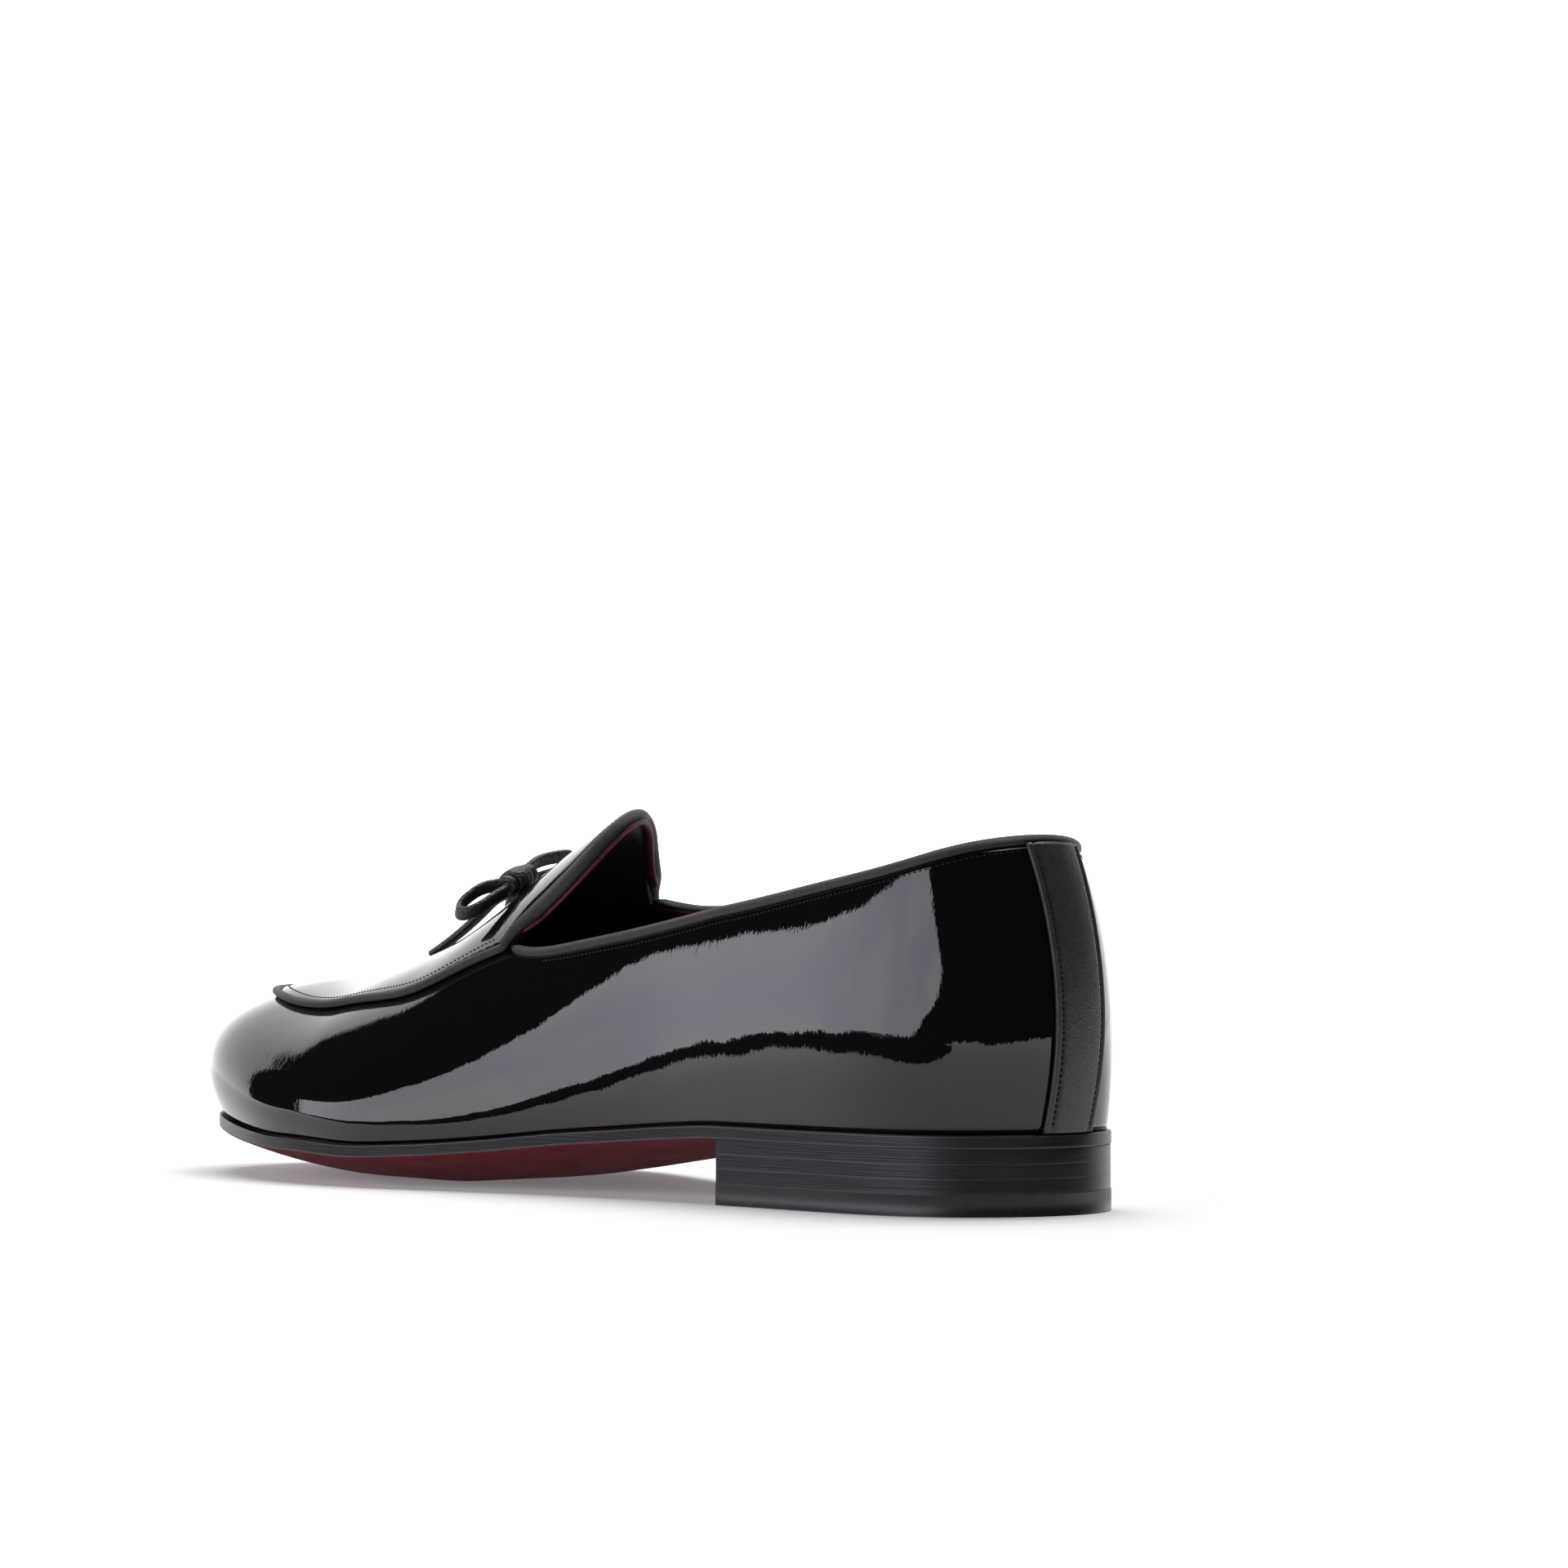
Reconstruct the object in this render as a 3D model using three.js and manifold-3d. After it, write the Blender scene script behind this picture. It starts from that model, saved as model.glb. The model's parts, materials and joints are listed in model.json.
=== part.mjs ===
// Belgian loafer, left shoe: slip-on with a moc-front apron, a tongue tab and a small lace bow.
// Millimetres, +X towards the toe, +Y towards the lateral side, +Z up. The shoe stands on z = 0,
// and the origin lies on the floor under the middle of its box.
import * as THREE from 'three';
import { mergeVertices } from 'three/addons/utils/BufferGeometryUtils.js';
import Module from 'manifold-3d';

const wasm = await Module();
wasm.setup();

// Sizes of the last and the sole
const LENGTH = 295;            // outsole, back of the heel to the toe tip
const BALL_WIDTH = 101;        // outsole across the ball
const HEEL_WIDTH = 65;         // outsole across the heel seat
const HEEL_LENGTH = 82;        // heel block, back to breast
const HEEL_HEIGHT = 14.9;      // floor to the underside of the outsole at the heel
const TOP_PIECE_THICKNESS = 5; // rubber wear piece
const LIFT_COUNT = 3;          // leather lifts above the top piece
const LIFT_INSET = 0.4;        // lifts stand back from the sole's edge
const SOLE_THICKNESS = 3.2;    // outsole leather at its edge
const SOLE_CROWN = 6.6;        // the sole's edge stands this much above its middle at the ball
const SOLE_FLAT_WIDTH = 24;    // flat strip along the middle of the underside
const TOE_SPRING = 12;         // underside of the toe tip above the floor
const FEATHER_INSET = 1;       // the upper meets the sole this far inside the sole's edge
const COUNTER_HEIGHT = 66;     // topline above the sole at the back
const INSTEP_HEIGHT = 78;      // ridge of the last above the sole at the tongue

// Sizes of the upper's leather
const WALL = 1.8;              // upper with its lining
const INSOLE_THICKNESS = 2;
const OVERLAY_THICKNESS = 1.2; // apron plug and back stay
const PIPING_DIAMETER = 2.0;   // rolled seam round the apron
const BINDING_HEIGHT = 2.3;    // rolled edge of the topline
const BINDING_WIDTH = 2.8;
const TONGUE_BINDING_DIAMETER = 3.4;
const LACE_WIDTH = 3.4;        // leather lace of the bow
const LACE_THICKNESS = 1.5;
const KNOT_WIDTH = 9.4;
const KNOT_LENGTH = 7.8;
const KNOT_HEIGHT = 6.4;
const GAP = 0.3;               // between curved pieces
const PLUG_GAP = 0.4;          // under the plug, which bends both ways

// Outline of the outsole. along: share of LENGTH. lateral, medial: shares of the width in `of`.
const OUTLINE = [
  { along: 0.010, of: HEEL_WIDTH, lateral: 0.205, medial: -0.205 },
  { along: 0.040, of: HEEL_WIDTH, lateral: 0.378, medial: -0.378 },
  { along: 0.115, of: HEEL_WIDTH, lateral: 0.495, medial: -0.492 },
  { along: 0.200, of: HEEL_WIDTH, lateral: 0.505, medial: -0.495 },
  { along: 0.290, of: HEEL_WIDTH, lateral: 0.502, medial: -0.469 },
  { along: 0.360, of: BALL_WIDTH, lateral: 0.325, medial: -0.282 },
  { along: 0.440, of: BALL_WIDTH, lateral: 0.347, medial: -0.287 },
  { along: 0.520, of: BALL_WIDTH, lateral: 0.391, medial: -0.332 },
  { along: 0.600, of: BALL_WIDTH, lateral: 0.455, medial: -0.411 },
  { along: 0.660, of: BALL_WIDTH, lateral: 0.495, medial: -0.470 },
  { along: 0.720, of: BALL_WIDTH, lateral: 0.500, medial: -0.500 },
  { along: 0.790, of: BALL_WIDTH, lateral: 0.475, medial: -0.495 },
  { along: 0.860, of: BALL_WIDTH, lateral: 0.407, medial: -0.447 },
  { along: 0.925, of: BALL_WIDTH, lateral: 0.307, medial: -0.362 },
  { along: 0.970, of: BALL_WIDTH, lateral: 0.188, medial: -0.260 },
  { along: 0.993, of: BALL_WIDTH, lateral: 0.070, medial: -0.156 },
];
const TOE_SHIFT = -0.045;      // toe tip off the middle line, share of BALL_WIDTH

// Underside along the middle, from the heel's breast over the waist to the ball and the toe.
// heel, toe: shares of HEEL_HEIGHT and TOE_SPRING. crown: share of SOLE_CROWN.
const SEAT_END = (HEEL_LENGTH + 1.5) / LENGTH;
const BALL_START = 0.68;
const waist = (share) => SEAT_END + (BALL_START - SEAT_END) * share;
const UNDERSIDE = [
  { along: 0.00, heel: 1, toe: 0, crown: 0 },
  { along: waist(0), heel: 1, toe: 0, crown: 0 },
  { along: waist(0.12), heel: 0.86, toe: 0, crown: 0.22 },
  { along: waist(0.30), heel: 0.62, toe: 0, crown: 0.53 },
  { along: waist(0.48), heel: 0.42, toe: 0, crown: 0.73 },
  { along: waist(0.65), heel: 0.24, toe: 0, crown: 0.83 },
  { along: waist(0.82), heel: 0.09, toe: 0, crown: 0.94 },
  { along: BALL_START, heel: 0, toe: 0, crown: 1.04 },
  { along: 0.76, heel: 0, toe: 0, crown: 1.16 },
  { along: 0.82, heel: 0, toe: 0.09, crown: 1.14 },
  { along: 0.87, heel: 0, toe: 0.26, crown: 1.00 },
  { along: 0.92, heel: 0, toe: 0.50, crown: 0.74 },
  { along: 0.96, heel: 0, toe: 0.73, crown: 0.40 },
  { along: 1.00, heel: 0, toe: 1, crown: 0 },
];

// Cross-sections of the last. ridge: height over the sole's edge, share of INSTEP_HEIGHT.
// shift: the ridge off the middle line. crown: half width of the round top. Both are shares
// of BALL_WIDTH. wall, flare: how high each side stands and how far it swells outwards.
const SECTIONS = [
  { along: 0.00, ridge: 1.18, shift: 0.000, crown: 0.21, wallL: 0.55, wallM: 0.55, flareL: 0.22, flareM: 0.22 },
  { along: 0.15, ridge: 1.16, shift: -0.010, crown: 0.19, wallL: 0.62, wallM: 0.62, flareL: 0.15, flareM: 0.13 },
  { along: 0.30, ridge: 1.12, shift: -0.020, crown: 0.18, wallL: 0.62, wallM: 0.66, flareL: 0.10, flareM: 0.05 },
  { along: 0.42, ridge: 1.06, shift: -0.035, crown: 0.17, wallL: 0.56, wallM: 0.65, flareL: 0.07, flareM: 0.03 },
  { along: 0.50, ridge: 0.975, shift: -0.045, crown: 0.16, wallL: 0.46, wallM: 0.61, flareL: 0.06, flareM: 0.04 },
  { along: 0.58, ridge: 0.862, shift: -0.050, crown: 0.16, wallL: 0.38, wallM: 0.56, flareL: 0.07, flareM: 0.08 },
  { along: 0.66, ridge: 0.688, shift: -0.050, crown: 0.18, wallL: 0.41, wallM: 0.52, flareL: 0.10, flareM: 0.12 },
  { along: 0.74, ridge: 0.545, shift: -0.048, crown: 0.20, wallL: 0.50, wallM: 0.56, flareL: 0.15, flareM: 0.16 },
  { along: 0.82, ridge: 0.45, shift: -0.046, crown: 0.20, wallL: 0.64, wallM: 0.66, flareL: 0.22, flareM: 0.22 },
  { along: 0.90, ridge: 0.42, shift: -0.045, crown: 0.19, wallL: 0.80, wallM: 0.80, flareL: 0.32, flareM: 0.32 },
  { along: 1.00, ridge: 0.40, shift: -0.045, crown: 0.17, wallL: 0.88, wallM: 0.88, flareL: 0.40, flareM: 0.40 },
];
const HEEL_FOCUS = 0.125;      // the ridge starts here, share of LENGTH
const TOE_FOCUS = 0.845;       // and ends here
const FOCUS_BLEND = 0.03;      // softness of both ends, share of LENGTH

// Topline. lateral, medial: height over the sole's edge to the top of its binding,
// shares of COUNTER_HEIGHT.
const TOPLINE = [
  { along: 0.00, lateral: 1.015, medial: 1.015 },
  { along: 0.03, lateral: 0.985, medial: 0.990 },
  { along: 0.08, lateral: 0.927, medial: 0.940 },
  { along: 0.17, lateral: 0.848, medial: 0.875 },
  { along: 0.27, lateral: 0.769, medial: 0.825 },
  { along: 0.36, lateral: 0.716, medial: 0.803 },
  { along: 0.46, lateral: 0.679, medial: 0.797 },
  { along: 0.52, lateral: 0.677, medial: 0.812 },
  { along: 0.56, lateral: 0.710, medial: 0.845 },
  { along: 0.59, lateral: 0.755, medial: 0.885 },
];
const THROAT = { lateral: 0.56, medial: 0.582 }; // the topline meets the apron, shares of LENGTH

// Outer edge of the tongue tab on the flat pattern. lateral, medial: shares of BALL_WIDTH off
// the middle line.
const TONGUE = [
  { along: 0.545, lateral: 0.172, medial: -0.136 },
  { along: 0.530, lateral: 0.144, medial: -0.104 },
  { along: 0.515, lateral: 0.113, medial: -0.062 },
  { along: 0.5045, lateral: 0.082, medial: -0.022 },
];
const TONGUE_TIP = { along: 0.499, side: 0.030 }; // shares of LENGTH and BALL_WIDTH

// Apron seam. lateral, medial: how far up the columns of the last it runs, 1 at the ridge.
const APRON_SEAM = [
  { along: 0.60, lateral: 0.500, medial: 0.640 },
  { along: 0.65, lateral: 0.499, medial: 0.590 },
  { along: 0.70, lateral: 0.520, medial: 0.562 },
  { along: 0.76, lateral: 0.553, medial: 0.565 },
  { along: 0.83, lateral: 0.568, medial: 0.568 },
  { along: 0.90, lateral: 0.582, medial: 0.574 },
];
const APRON_FRONT = 0.57;      // the same at the toe
const BINDING_TURN = 13;       // length over which the piping goes over into the tongue's binding

// Edges of the back stay. up: share of the height to the topline. lateral, medial: off the
// middle line, shares of HEEL_WIDTH.
const BACK_STAY = [
  { up: 0.00, lateral: 0.092, medial: -0.134 },
  { up: 0.25, lateral: 0.063, medial: -0.184 },
  { up: 0.60, lateral: 0.056, medial: -0.200 },
  { up: 1.00, lateral: 0.068, medial: -0.194 },
];

// The bow's lace, in mm from its seat on the apron: ahead to the toe, side to the lateral side,
// rise off the leather. Each strand starts at the knot.
const BOW_SEAT = { along: 0.624, side: 0.04 }; // shares of LENGTH and BALL_WIDTH
const KNOT_SIDE = -1.2;
const BOW = {
  bow_loop_lateral: [
    { ahead: 1.5, side: 3.9, rise: 5.0 },
    { ahead: 3.0, side: 6.6, rise: 6.2 },
    { ahead: 4.7, side: 10.6, rise: 6.3 },
    { ahead: 5.7, side: 13.9, rise: 5.6 },
    { ahead: 5.0, side: 15.8, rise: 4.2 },
    { ahead: 3.0, side: 15.4, rise: 2.9 },
    { ahead: 0.9, side: 12.0, rise: 2.3 },
    { ahead: -0.2, side: 8.0, rise: 2.4 },
    { ahead: -0.6, side: 3.9, rise: 2.2 },
  ],
  bow_loop_medial: [
    { ahead: -0.5, side: -6.3, rise: 4.2 },
    { ahead: -0.6, side: -9.2, rise: 4.5 },
    { ahead: -0.9, side: -13.0, rise: 4.0 },
    { ahead: -1.3, side: -17.0, rise: 2.8 },
    { ahead: -0.8, side: -20.2, rise: 1.4 },
    { ahead: 1.0, side: -20.4, rise: 0.4 },
    { ahead: 2.2, side: -17.2, rise: 0.4 },
    { ahead: 2.3, side: -13.2, rise: 0.9 },
    { ahead: 1.9, side: -9.2, rise: 1.4 },
    { ahead: 1.6, side: -6.3, rise: 1.6 },
  ],
  bow_tail_lateral: [
    { ahead: 4.3, side: 1.2, rise: 2.3 },
    { ahead: 8.0, side: 1.0, rise: 2.8 },
    { ahead: 13.0, side: 0.4, rise: 2.9 },
    { ahead: 20.6, side: -0.8, rise: 3.0 },
    { ahead: 30.0, side: -2.1, rise: 3.5 },
    { ahead: 39.6, side: -4.2, rise: 4.5 },
  ],
  bow_tail_medial: [
    { ahead: 4.3, side: -3.2, rise: 2.0 },
    { ahead: 8.0, side: -5.4, rise: 1.6 },
    { ahead: 14.0, side: -9.4, rise: 0.9 },
    { ahead: 22.0, side: -14.4, rise: 0.4 },
    { ahead: 31.0, side: -19.0, rise: 0.3 },
  ],
};

// Fineness of the meshes
const QUARTER_COLUMNS = 40;
const VAMP_COLUMNS = 36;
const WALL_ROWS = 8;
const APRON_ROWS = 8;
const SOLE_STATIONS = 40;
const SOLE_STRIPS = 8;
const HEEL_STATIONS = 13;
const HEEL_STRIPS = 1;
const STAY_STRIPS = 4;
const STAY_ROWS = 8;
const LACE_STEPS = 3;          // between two points of the lace
const ROUND_SIDES = 8;

// Curves through short tables

// Cubic spline with continuous curvature and free ends
function smoothCurve(xs, ys) {
  const last = xs.length - 1;
  const bend = new Array(last + 1).fill(0);
  const rest = new Array(last + 1).fill(0);
  for (let i = 1; i < last; i++) {
    const span = xs[i + 1] - xs[i - 1];
    const share = (xs[i] - xs[i - 1]) / span;
    const pivot = share * bend[i - 1] + 2;
    const turn = (ys[i + 1] - ys[i]) / (xs[i + 1] - xs[i]) - (ys[i] - ys[i - 1]) / (xs[i] - xs[i - 1]);
    bend[i] = (share - 1) / pivot;
    rest[i] = (6 * turn / span - share * rest[i - 1]) / pivot;
  }
  for (let i = last - 1; i > 0; i--) bend[i] = bend[i] * bend[i + 1] + rest[i];
  bend[0] = 0;
  return (x) => {
    let k = 0;
    while (k < last - 1 && x > xs[k + 1]) k++;
    const step = xs[k + 1] - xs[k];
    const a = (xs[k + 1] - x) / step;
    const b = (x - xs[k]) / step;
    const cubic = (a ** 3 - a) * bend[k] + (b ** 3 - b) * bend[k + 1];
    return a * ys[k] + b * ys[k + 1] + cubic * step * step / 6;
  };
}

// Cubic curve that never overshoots its rows, so that a level stretch stays level
function steadyCurve(xs, ys) {
  const last = xs.length - 1;
  const slope = (i) => (ys[i + 1] - ys[i]) / (xs[i + 1] - xs[i]);
  const tangents = xs.map((x, i) => {
    if (i === 0 || i === last || slope(i - 1) * slope(i) <= 0) return 0;
    return 2 * slope(i - 1) * slope(i) / (slope(i - 1) + slope(i));
  });
  tangents[last] = slope(last - 1);
  return (x) => {
    let k = 0;
    while (k < last - 1 && x > xs[k + 1]) k++;
    const step = xs[k + 1] - xs[k];
    const t = THREE.MathUtils.clamp((x - xs[k]) / step, 0, 1);
    const rise = t * t * (3 - 2 * t);
    return ys[k] + (ys[k + 1] - ys[k]) * rise
      + step * (tangents[k] * t * (1 - t) ** 2 - tangents[k + 1] * t * t * (1 - t));
  };
}

const column = (rows, name, curve) => curve(rows.map((row) => row.along), rows.map((row) => row[name]));

// The turn round the shoe: 0 at the heel, 1 at the toe tip, 2 at the heel again.
// The lateral side comes first.
const turnAt = (along) => Math.acos(1 - 2 * along) / Math.PI;
const alongAt = (turn) => (1 - Math.cos(Math.PI * turn)) / 2;

const outlineSide = (() => {
  const lateral = OUTLINE.map((row) => ({ turn: turnAt(row.along), y: row.lateral * row.of }));
  const medial = OUTLINE.map((row) => ({ turn: 2 - turnAt(row.along), y: row.medial * row.of })).reverse();
  const loop = [{ turn: 0, y: 0 }, ...lateral, { turn: 1, y: TOE_SHIFT * BALL_WIDTH }, ...medial];
  const rows = [-2, 0, 2].flatMap((lap) => loop.map((row) => ({ turn: row.turn + lap, y: row.y })));
  return smoothCurve(rows.map((row) => row.turn), rows.map((row) => row.y));
})();

// A point of the outline of the outsole, moved inwards by inset
function outlineAt(turn, inset = 0) {
  const delta = 1e-4;
  const x = LENGTH * alongAt(turn);
  const y = outlineSide(turn);
  if (inset === 0) return new THREE.Vector2(x, y);
  const run = LENGTH * (alongAt(turn + delta) - alongAt(turn - delta));
  const rise = outlineSide(turn + delta) - outlineSide(turn - delta);
  const length = Math.hypot(run, rise);
  return new THREE.Vector2(x + inset * rise / length, y - inset * run / length);
}

// Heights of the underside of the sole
const heelShare = column(UNDERSIDE, 'heel', steadyCurve);
const toeShare = column(UNDERSIDE, 'toe', steadyCurve);
const crownShare = column(UNDERSIDE, 'crown', steadyCurve);
const middleHeight = (along) => heelShare(along) * HEEL_HEIGHT + toeShare(along) * TOE_SPRING;

// reach: 0 on the middle line, 1 at the sole's edge
function undersideHeight(along, offMiddle, halfWidth) {
  const flat = Math.min(SOLE_FLAT_WIDTH / 2, halfWidth / 2);
  const reach = Math.max(0, Math.abs(offMiddle) - flat) / Math.max(halfWidth - flat, 1);
  return middleHeight(along) + crownShare(along) * SOLE_CROWN * reach ** 1.6;
}
const soleEdgeTop = (along) => middleHeight(along) + crownShare(along) * SOLE_CROWN + SOLE_THICKNESS;

// The last, as columns that climb from the sole's edge to the ridge

const ridgeShare = column(SECTIONS, 'ridge', smoothCurve);
const shiftShare = column(SECTIONS, 'shift', smoothCurve);
const crownWidth = column(SECTIONS, 'crown', smoothCurve);
const wallLateral = column(SECTIONS, 'wallL', smoothCurve);
const wallMedial = column(SECTIONS, 'wallM', smoothCurve);
const flareLateral = column(SECTIONS, 'flareL', smoothCurve);
const flareMedial = column(SECTIONS, 'flareM', smoothCurve);

function ridgeAt(x) {
  const blend = FOCUS_BLEND * LENGTH;
  const soft = (distance) => blend * Math.log1p(Math.exp(distance / blend));
  const start = HEEL_FOCUS * LENGTH;
  const along = (start + soft(x - start) - soft(x - TOE_FOCUS * LENGTH)) / LENGTH;
  const z = soleEdgeTop(along) + GAP + ridgeShare(along) * INSTEP_HEIGHT;
  return new THREE.Vector3(along * LENGTH, shiftShare(along) * BALL_WIDTH, z);
}

// The column at a turn: its foot on the sole, its ridge point and the bends between them
function columnAt(turn) {
  const foot = outlineAt(turn, FEATHER_INSET);
  const along = foot.x / LENGTH;
  const ridge = ridgeAt(foot.x);
  const lateral = ((turn % 2) + 2) % 2 < 1;
  const wall = lateral ? wallLateral(along) : wallMedial(along);
  const flare = lateral ? flareLateral(along) : flareMedial(along);
  const mean = 1 - (wallLateral(along) + wallMedial(along)) / 2;
  const crown = crownWidth(ridge.x / LENGTH) * BALL_WIDTH * Math.sqrt((1 - wall) / mean);
  const toRidge = new THREE.Vector2(ridge.x - foot.x, ridge.y - foot.y);
  return { foot, floor: soleEdgeTop(along) + GAP, ridge, wall, flare, crown, toRidge };
}

// Point of a column: climb is 0 at the sole and 1 at the ridge
function pointOn(col, climb) {
  const width = col.toRidge.length();
  const height = col.ridge.z - col.floor;
  const a = 3 * climb * (1 - climb) ** 2;
  const b = 3 * climb ** 2 * (1 - climb);
  const c = climb ** 3;
  const inward = -a * col.flare * width + b * (width - col.crown) + c * width;
  const up = a * col.wall * height + (b + c) * height;
  const share = inward / width;
  return new THREE.Vector3(
    col.foot.x + col.toRidge.x * share, col.foot.y + col.toRidge.y * share, col.floor + up);
}

// The flat pattern: the plan with each column laid out straight, so that every point of the
// last has one place on it, also where the real wall swells past its foot.
function patternAt(turn, climb) {
  const col = columnAt(turn);
  return new THREE.Vector2(
    col.foot.x + col.toRidge.x * climb, col.foot.y + col.toRidge.y * climb);
}

function onLast(pattern) {
  const middle = pattern.x / LENGTH;
  const ends = [columnAt(0), columnAt(1)];
  let line = ridgeAt(pattern.x).y;
  for (const end of ends) {
    const t = (pattern.x - end.foot.x) / end.toRidge.x;
    if (t >= 0 && t <= 1) line = end.foot.y + end.toRidge.y * t;
  }
  const lateral = pattern.y > line;
  let low = 0;
  let high = 1;
  for (let i = 0; i < 40; i++) {
    const mid = (low + high) / 2;
    const col = columnAt(lateral ? mid : 2 - mid);
    const dx = pattern.x - col.ridge.x;
    const dy = pattern.y - col.ridge.y;
    const side = col.toRidge.x * dy - col.toRidge.y * dx;
    if ((lateral ? side : -side) > 0) low = mid; else high = mid;
  }
  const turn = lateral ? low : 2 - low;
  const col = columnAt(turn);
  const reach = Math.hypot(pattern.x - col.ridge.x, pattern.y - col.ridge.y);
  const climb = THREE.MathUtils.clamp(1 - reach / col.toRidge.length(), 0, 1);
  return { turn, climb, middle, point: pointOn(col, climb) };
}

// Outward direction of the last at a place on the flat pattern
function outwardAt(pattern) {
  const step = 0.4;
  const at = (dx, dy) => onLast(new THREE.Vector2(pattern.x + dx, pattern.y + dy)).point;
  const forward = at(step, 0).sub(at(-step, 0));
  const sideways = at(0, step).sub(at(0, -step));
  return forward.cross(sideways).normalize();
}

// Sheets of leather: points on the flat pattern, joined in rows, with a thickness

const placed = new Map();
function place(pattern) {
  const key = `${pattern.x.toFixed(4)} ${pattern.y.toFixed(4)}`;
  if (!placed.has(key)) {
    const { point, climb } = onLast(pattern);
    const outward = outwardAt(pattern);
    if (climb < 1e-3) outward.setZ(0).normalize();
    placed.set(key, { key, point, outward });
  }
  return placed.get(key);
}

// Each grid is a list of rows of patterns; wrapped grids close round the shoe
function sheet(grids, inner, outer) {
  const ids = new Map();
  const spots = [];
  const faces = [];
  const index = (pattern) => {
    const spot = place(pattern);
    if (!ids.has(spot.key)) {
      ids.set(spot.key, spots.length);
      spots.push(spot);
    }
    return ids.get(spot.key);
  };
  const face = (a, b, c) => {
    if (a !== b && b !== c && c !== a) faces.push([a, b, c]);
  };
  for (const { rows, wrapped } of grids) {
    const numbers = rows.map((row) => row.map(index));
    for (let r = 0; r + 1 < numbers.length; r++) {
      const count = numbers[r].length;
      for (let i = 0; i < (wrapped ? count : count - 1); i++) {
        const next = (i + 1) % count;
        const [a, b, c, d] = [numbers[r][i], numbers[r][next], numbers[r + 1][next], numbers[r + 1][i]];
        face(a, c, b);
        face(a, d, c);
      }
    }
  }
  const positions = [outer, inner].flatMap((lift) =>
    spots.flatMap((spot) => spot.point.clone().addScaledVector(spot.outward, lift).toArray()));
  const edges = new Set(faces.flatMap(([a, b, c]) => [`${a} ${b}`, `${b} ${c}`, `${c} ${a}`]));
  const indices = faces.flatMap(([a, b, c]) => {
    const n = spots.length;
    return [a, b, c, a + n, c + n, b + n];
  });
  for (const edge of edges) {
    const [a, b] = edge.split(' ').map(Number);
    if (edges.has(`${b} ${a}`)) continue;
    const n = spots.length;
    indices.push(b, a, a + n, b, a + n, b + n);
  }
  return closedGeometry(positions, indices);
}

// A closed mesh with its faces turned outwards
function closedGeometry(positions, indices) {
  let volume = 0;
  const corner = (i) => new THREE.Vector3().fromArray(positions, 3 * indices[i]);
  for (let i = 0; i < indices.length; i += 3) {
    volume += corner(i).dot(corner(i + 1).cross(corner(i + 2)));
  }
  if (volume < 0) {
    for (let i = 0; i < indices.length; i += 3) {
      [indices[i + 1], indices[i + 2]] = [indices[i + 2], indices[i + 1]];
    }
  }
  const geometry = new THREE.BufferGeometry();
  geometry.setAttribute('position', new THREE.Float32BufferAttribute(positions, 3));
  geometry.setIndex(indices);
  return geometry;
}

// A flat-sided body between a lower and an upper height over the plan of the sole
function slab(turns, inset, lower, upper, strips = SOLE_STRIPS) {
  const rows = turns.map((turn) => {
    const near = outlineAt(turn, inset);
    const far = outlineAt(2 - turn, inset);
    const count = turn === 0 || turn === 1 ? 0 : strips;
    return Array.from({ length: count + 1 }, (_, i) => near.clone().lerp(far, count ? i / count : 0));
  });
  const spots = rows.flat();
  const positions = [upper, lower].flatMap((height) => spots.flatMap((p) => [p.x, p.y, height(p)]));
  const faces = [];
  let start = 0;
  for (let r = 0; r + 1 < rows.length; r++) {
    const [here, next] = [rows[r].length - 1, rows[r + 1].length - 1];
    const second = start + here + 1;
    for (let i = 0; i < strips; i++) {
      const [a, b] = here ? [start + i, start + i + 1] : [start, start];
      const [d, c] = next ? [second + i, second + i + 1] : [second, second];
      if (a !== b) faces.push([a, b, c]);
      if (c !== d) faces.push([a, c, d]);
    }
    start = second;
  }
  const n = spots.length;
  const indices = faces.flatMap(([a, b, c]) => [a, b, c, a + n, c + n, b + n]);
  const edges = new Set(faces.flatMap(([a, b, c]) => [`${a} ${b}`, `${b} ${c}`, `${c} ${a}`]));
  for (const edge of edges) {
    const [a, b] = edge.split(' ').map(Number);
    if (!edges.has(`${b} ${a}`)) indices.push(b, a, a + n, b, a + n, b + n);
  }
  return closedGeometry(positions, indices);
}

// An oval roll through stations with a centre, two half axes and a direction pair
function roll(stations, closed) {
  const positions = stations.flatMap(({ centre, across, rise, halfWidth, halfHeight }) =>
    Array.from({ length: ROUND_SIDES }, (_, i) => {
      const angle = (i + 0.5) * 2 * Math.PI / ROUND_SIDES;
      return centre.clone()
        .addScaledVector(across, halfWidth * Math.cos(angle))
        .addScaledVector(rise, halfHeight * Math.sin(angle)).toArray();
    }).flat());
  const indices = [];
  const rings = stations.length;
  for (let r = 0; r < (closed ? rings : rings - 1); r++) {
    for (let i = 0; i < ROUND_SIDES; i++) {
      const [a, b] = [r * ROUND_SIDES + i, r * ROUND_SIDES + (i + 1) % ROUND_SIDES];
      const [d, c] = [a, b].map((k) => (k + ROUND_SIDES) % (rings * ROUND_SIDES));
      indices.push(a, b, c, a, c, d);
    }
  }
  if (!closed) {
    const last = (rings - 1) * ROUND_SIDES;
    for (let i = 1; i + 1 < ROUND_SIDES; i++) {
      indices.push(0, i + 1, i, last, last + i, last + i + 1);
    }
  }
  return closedGeometry(positions, indices);
}

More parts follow.
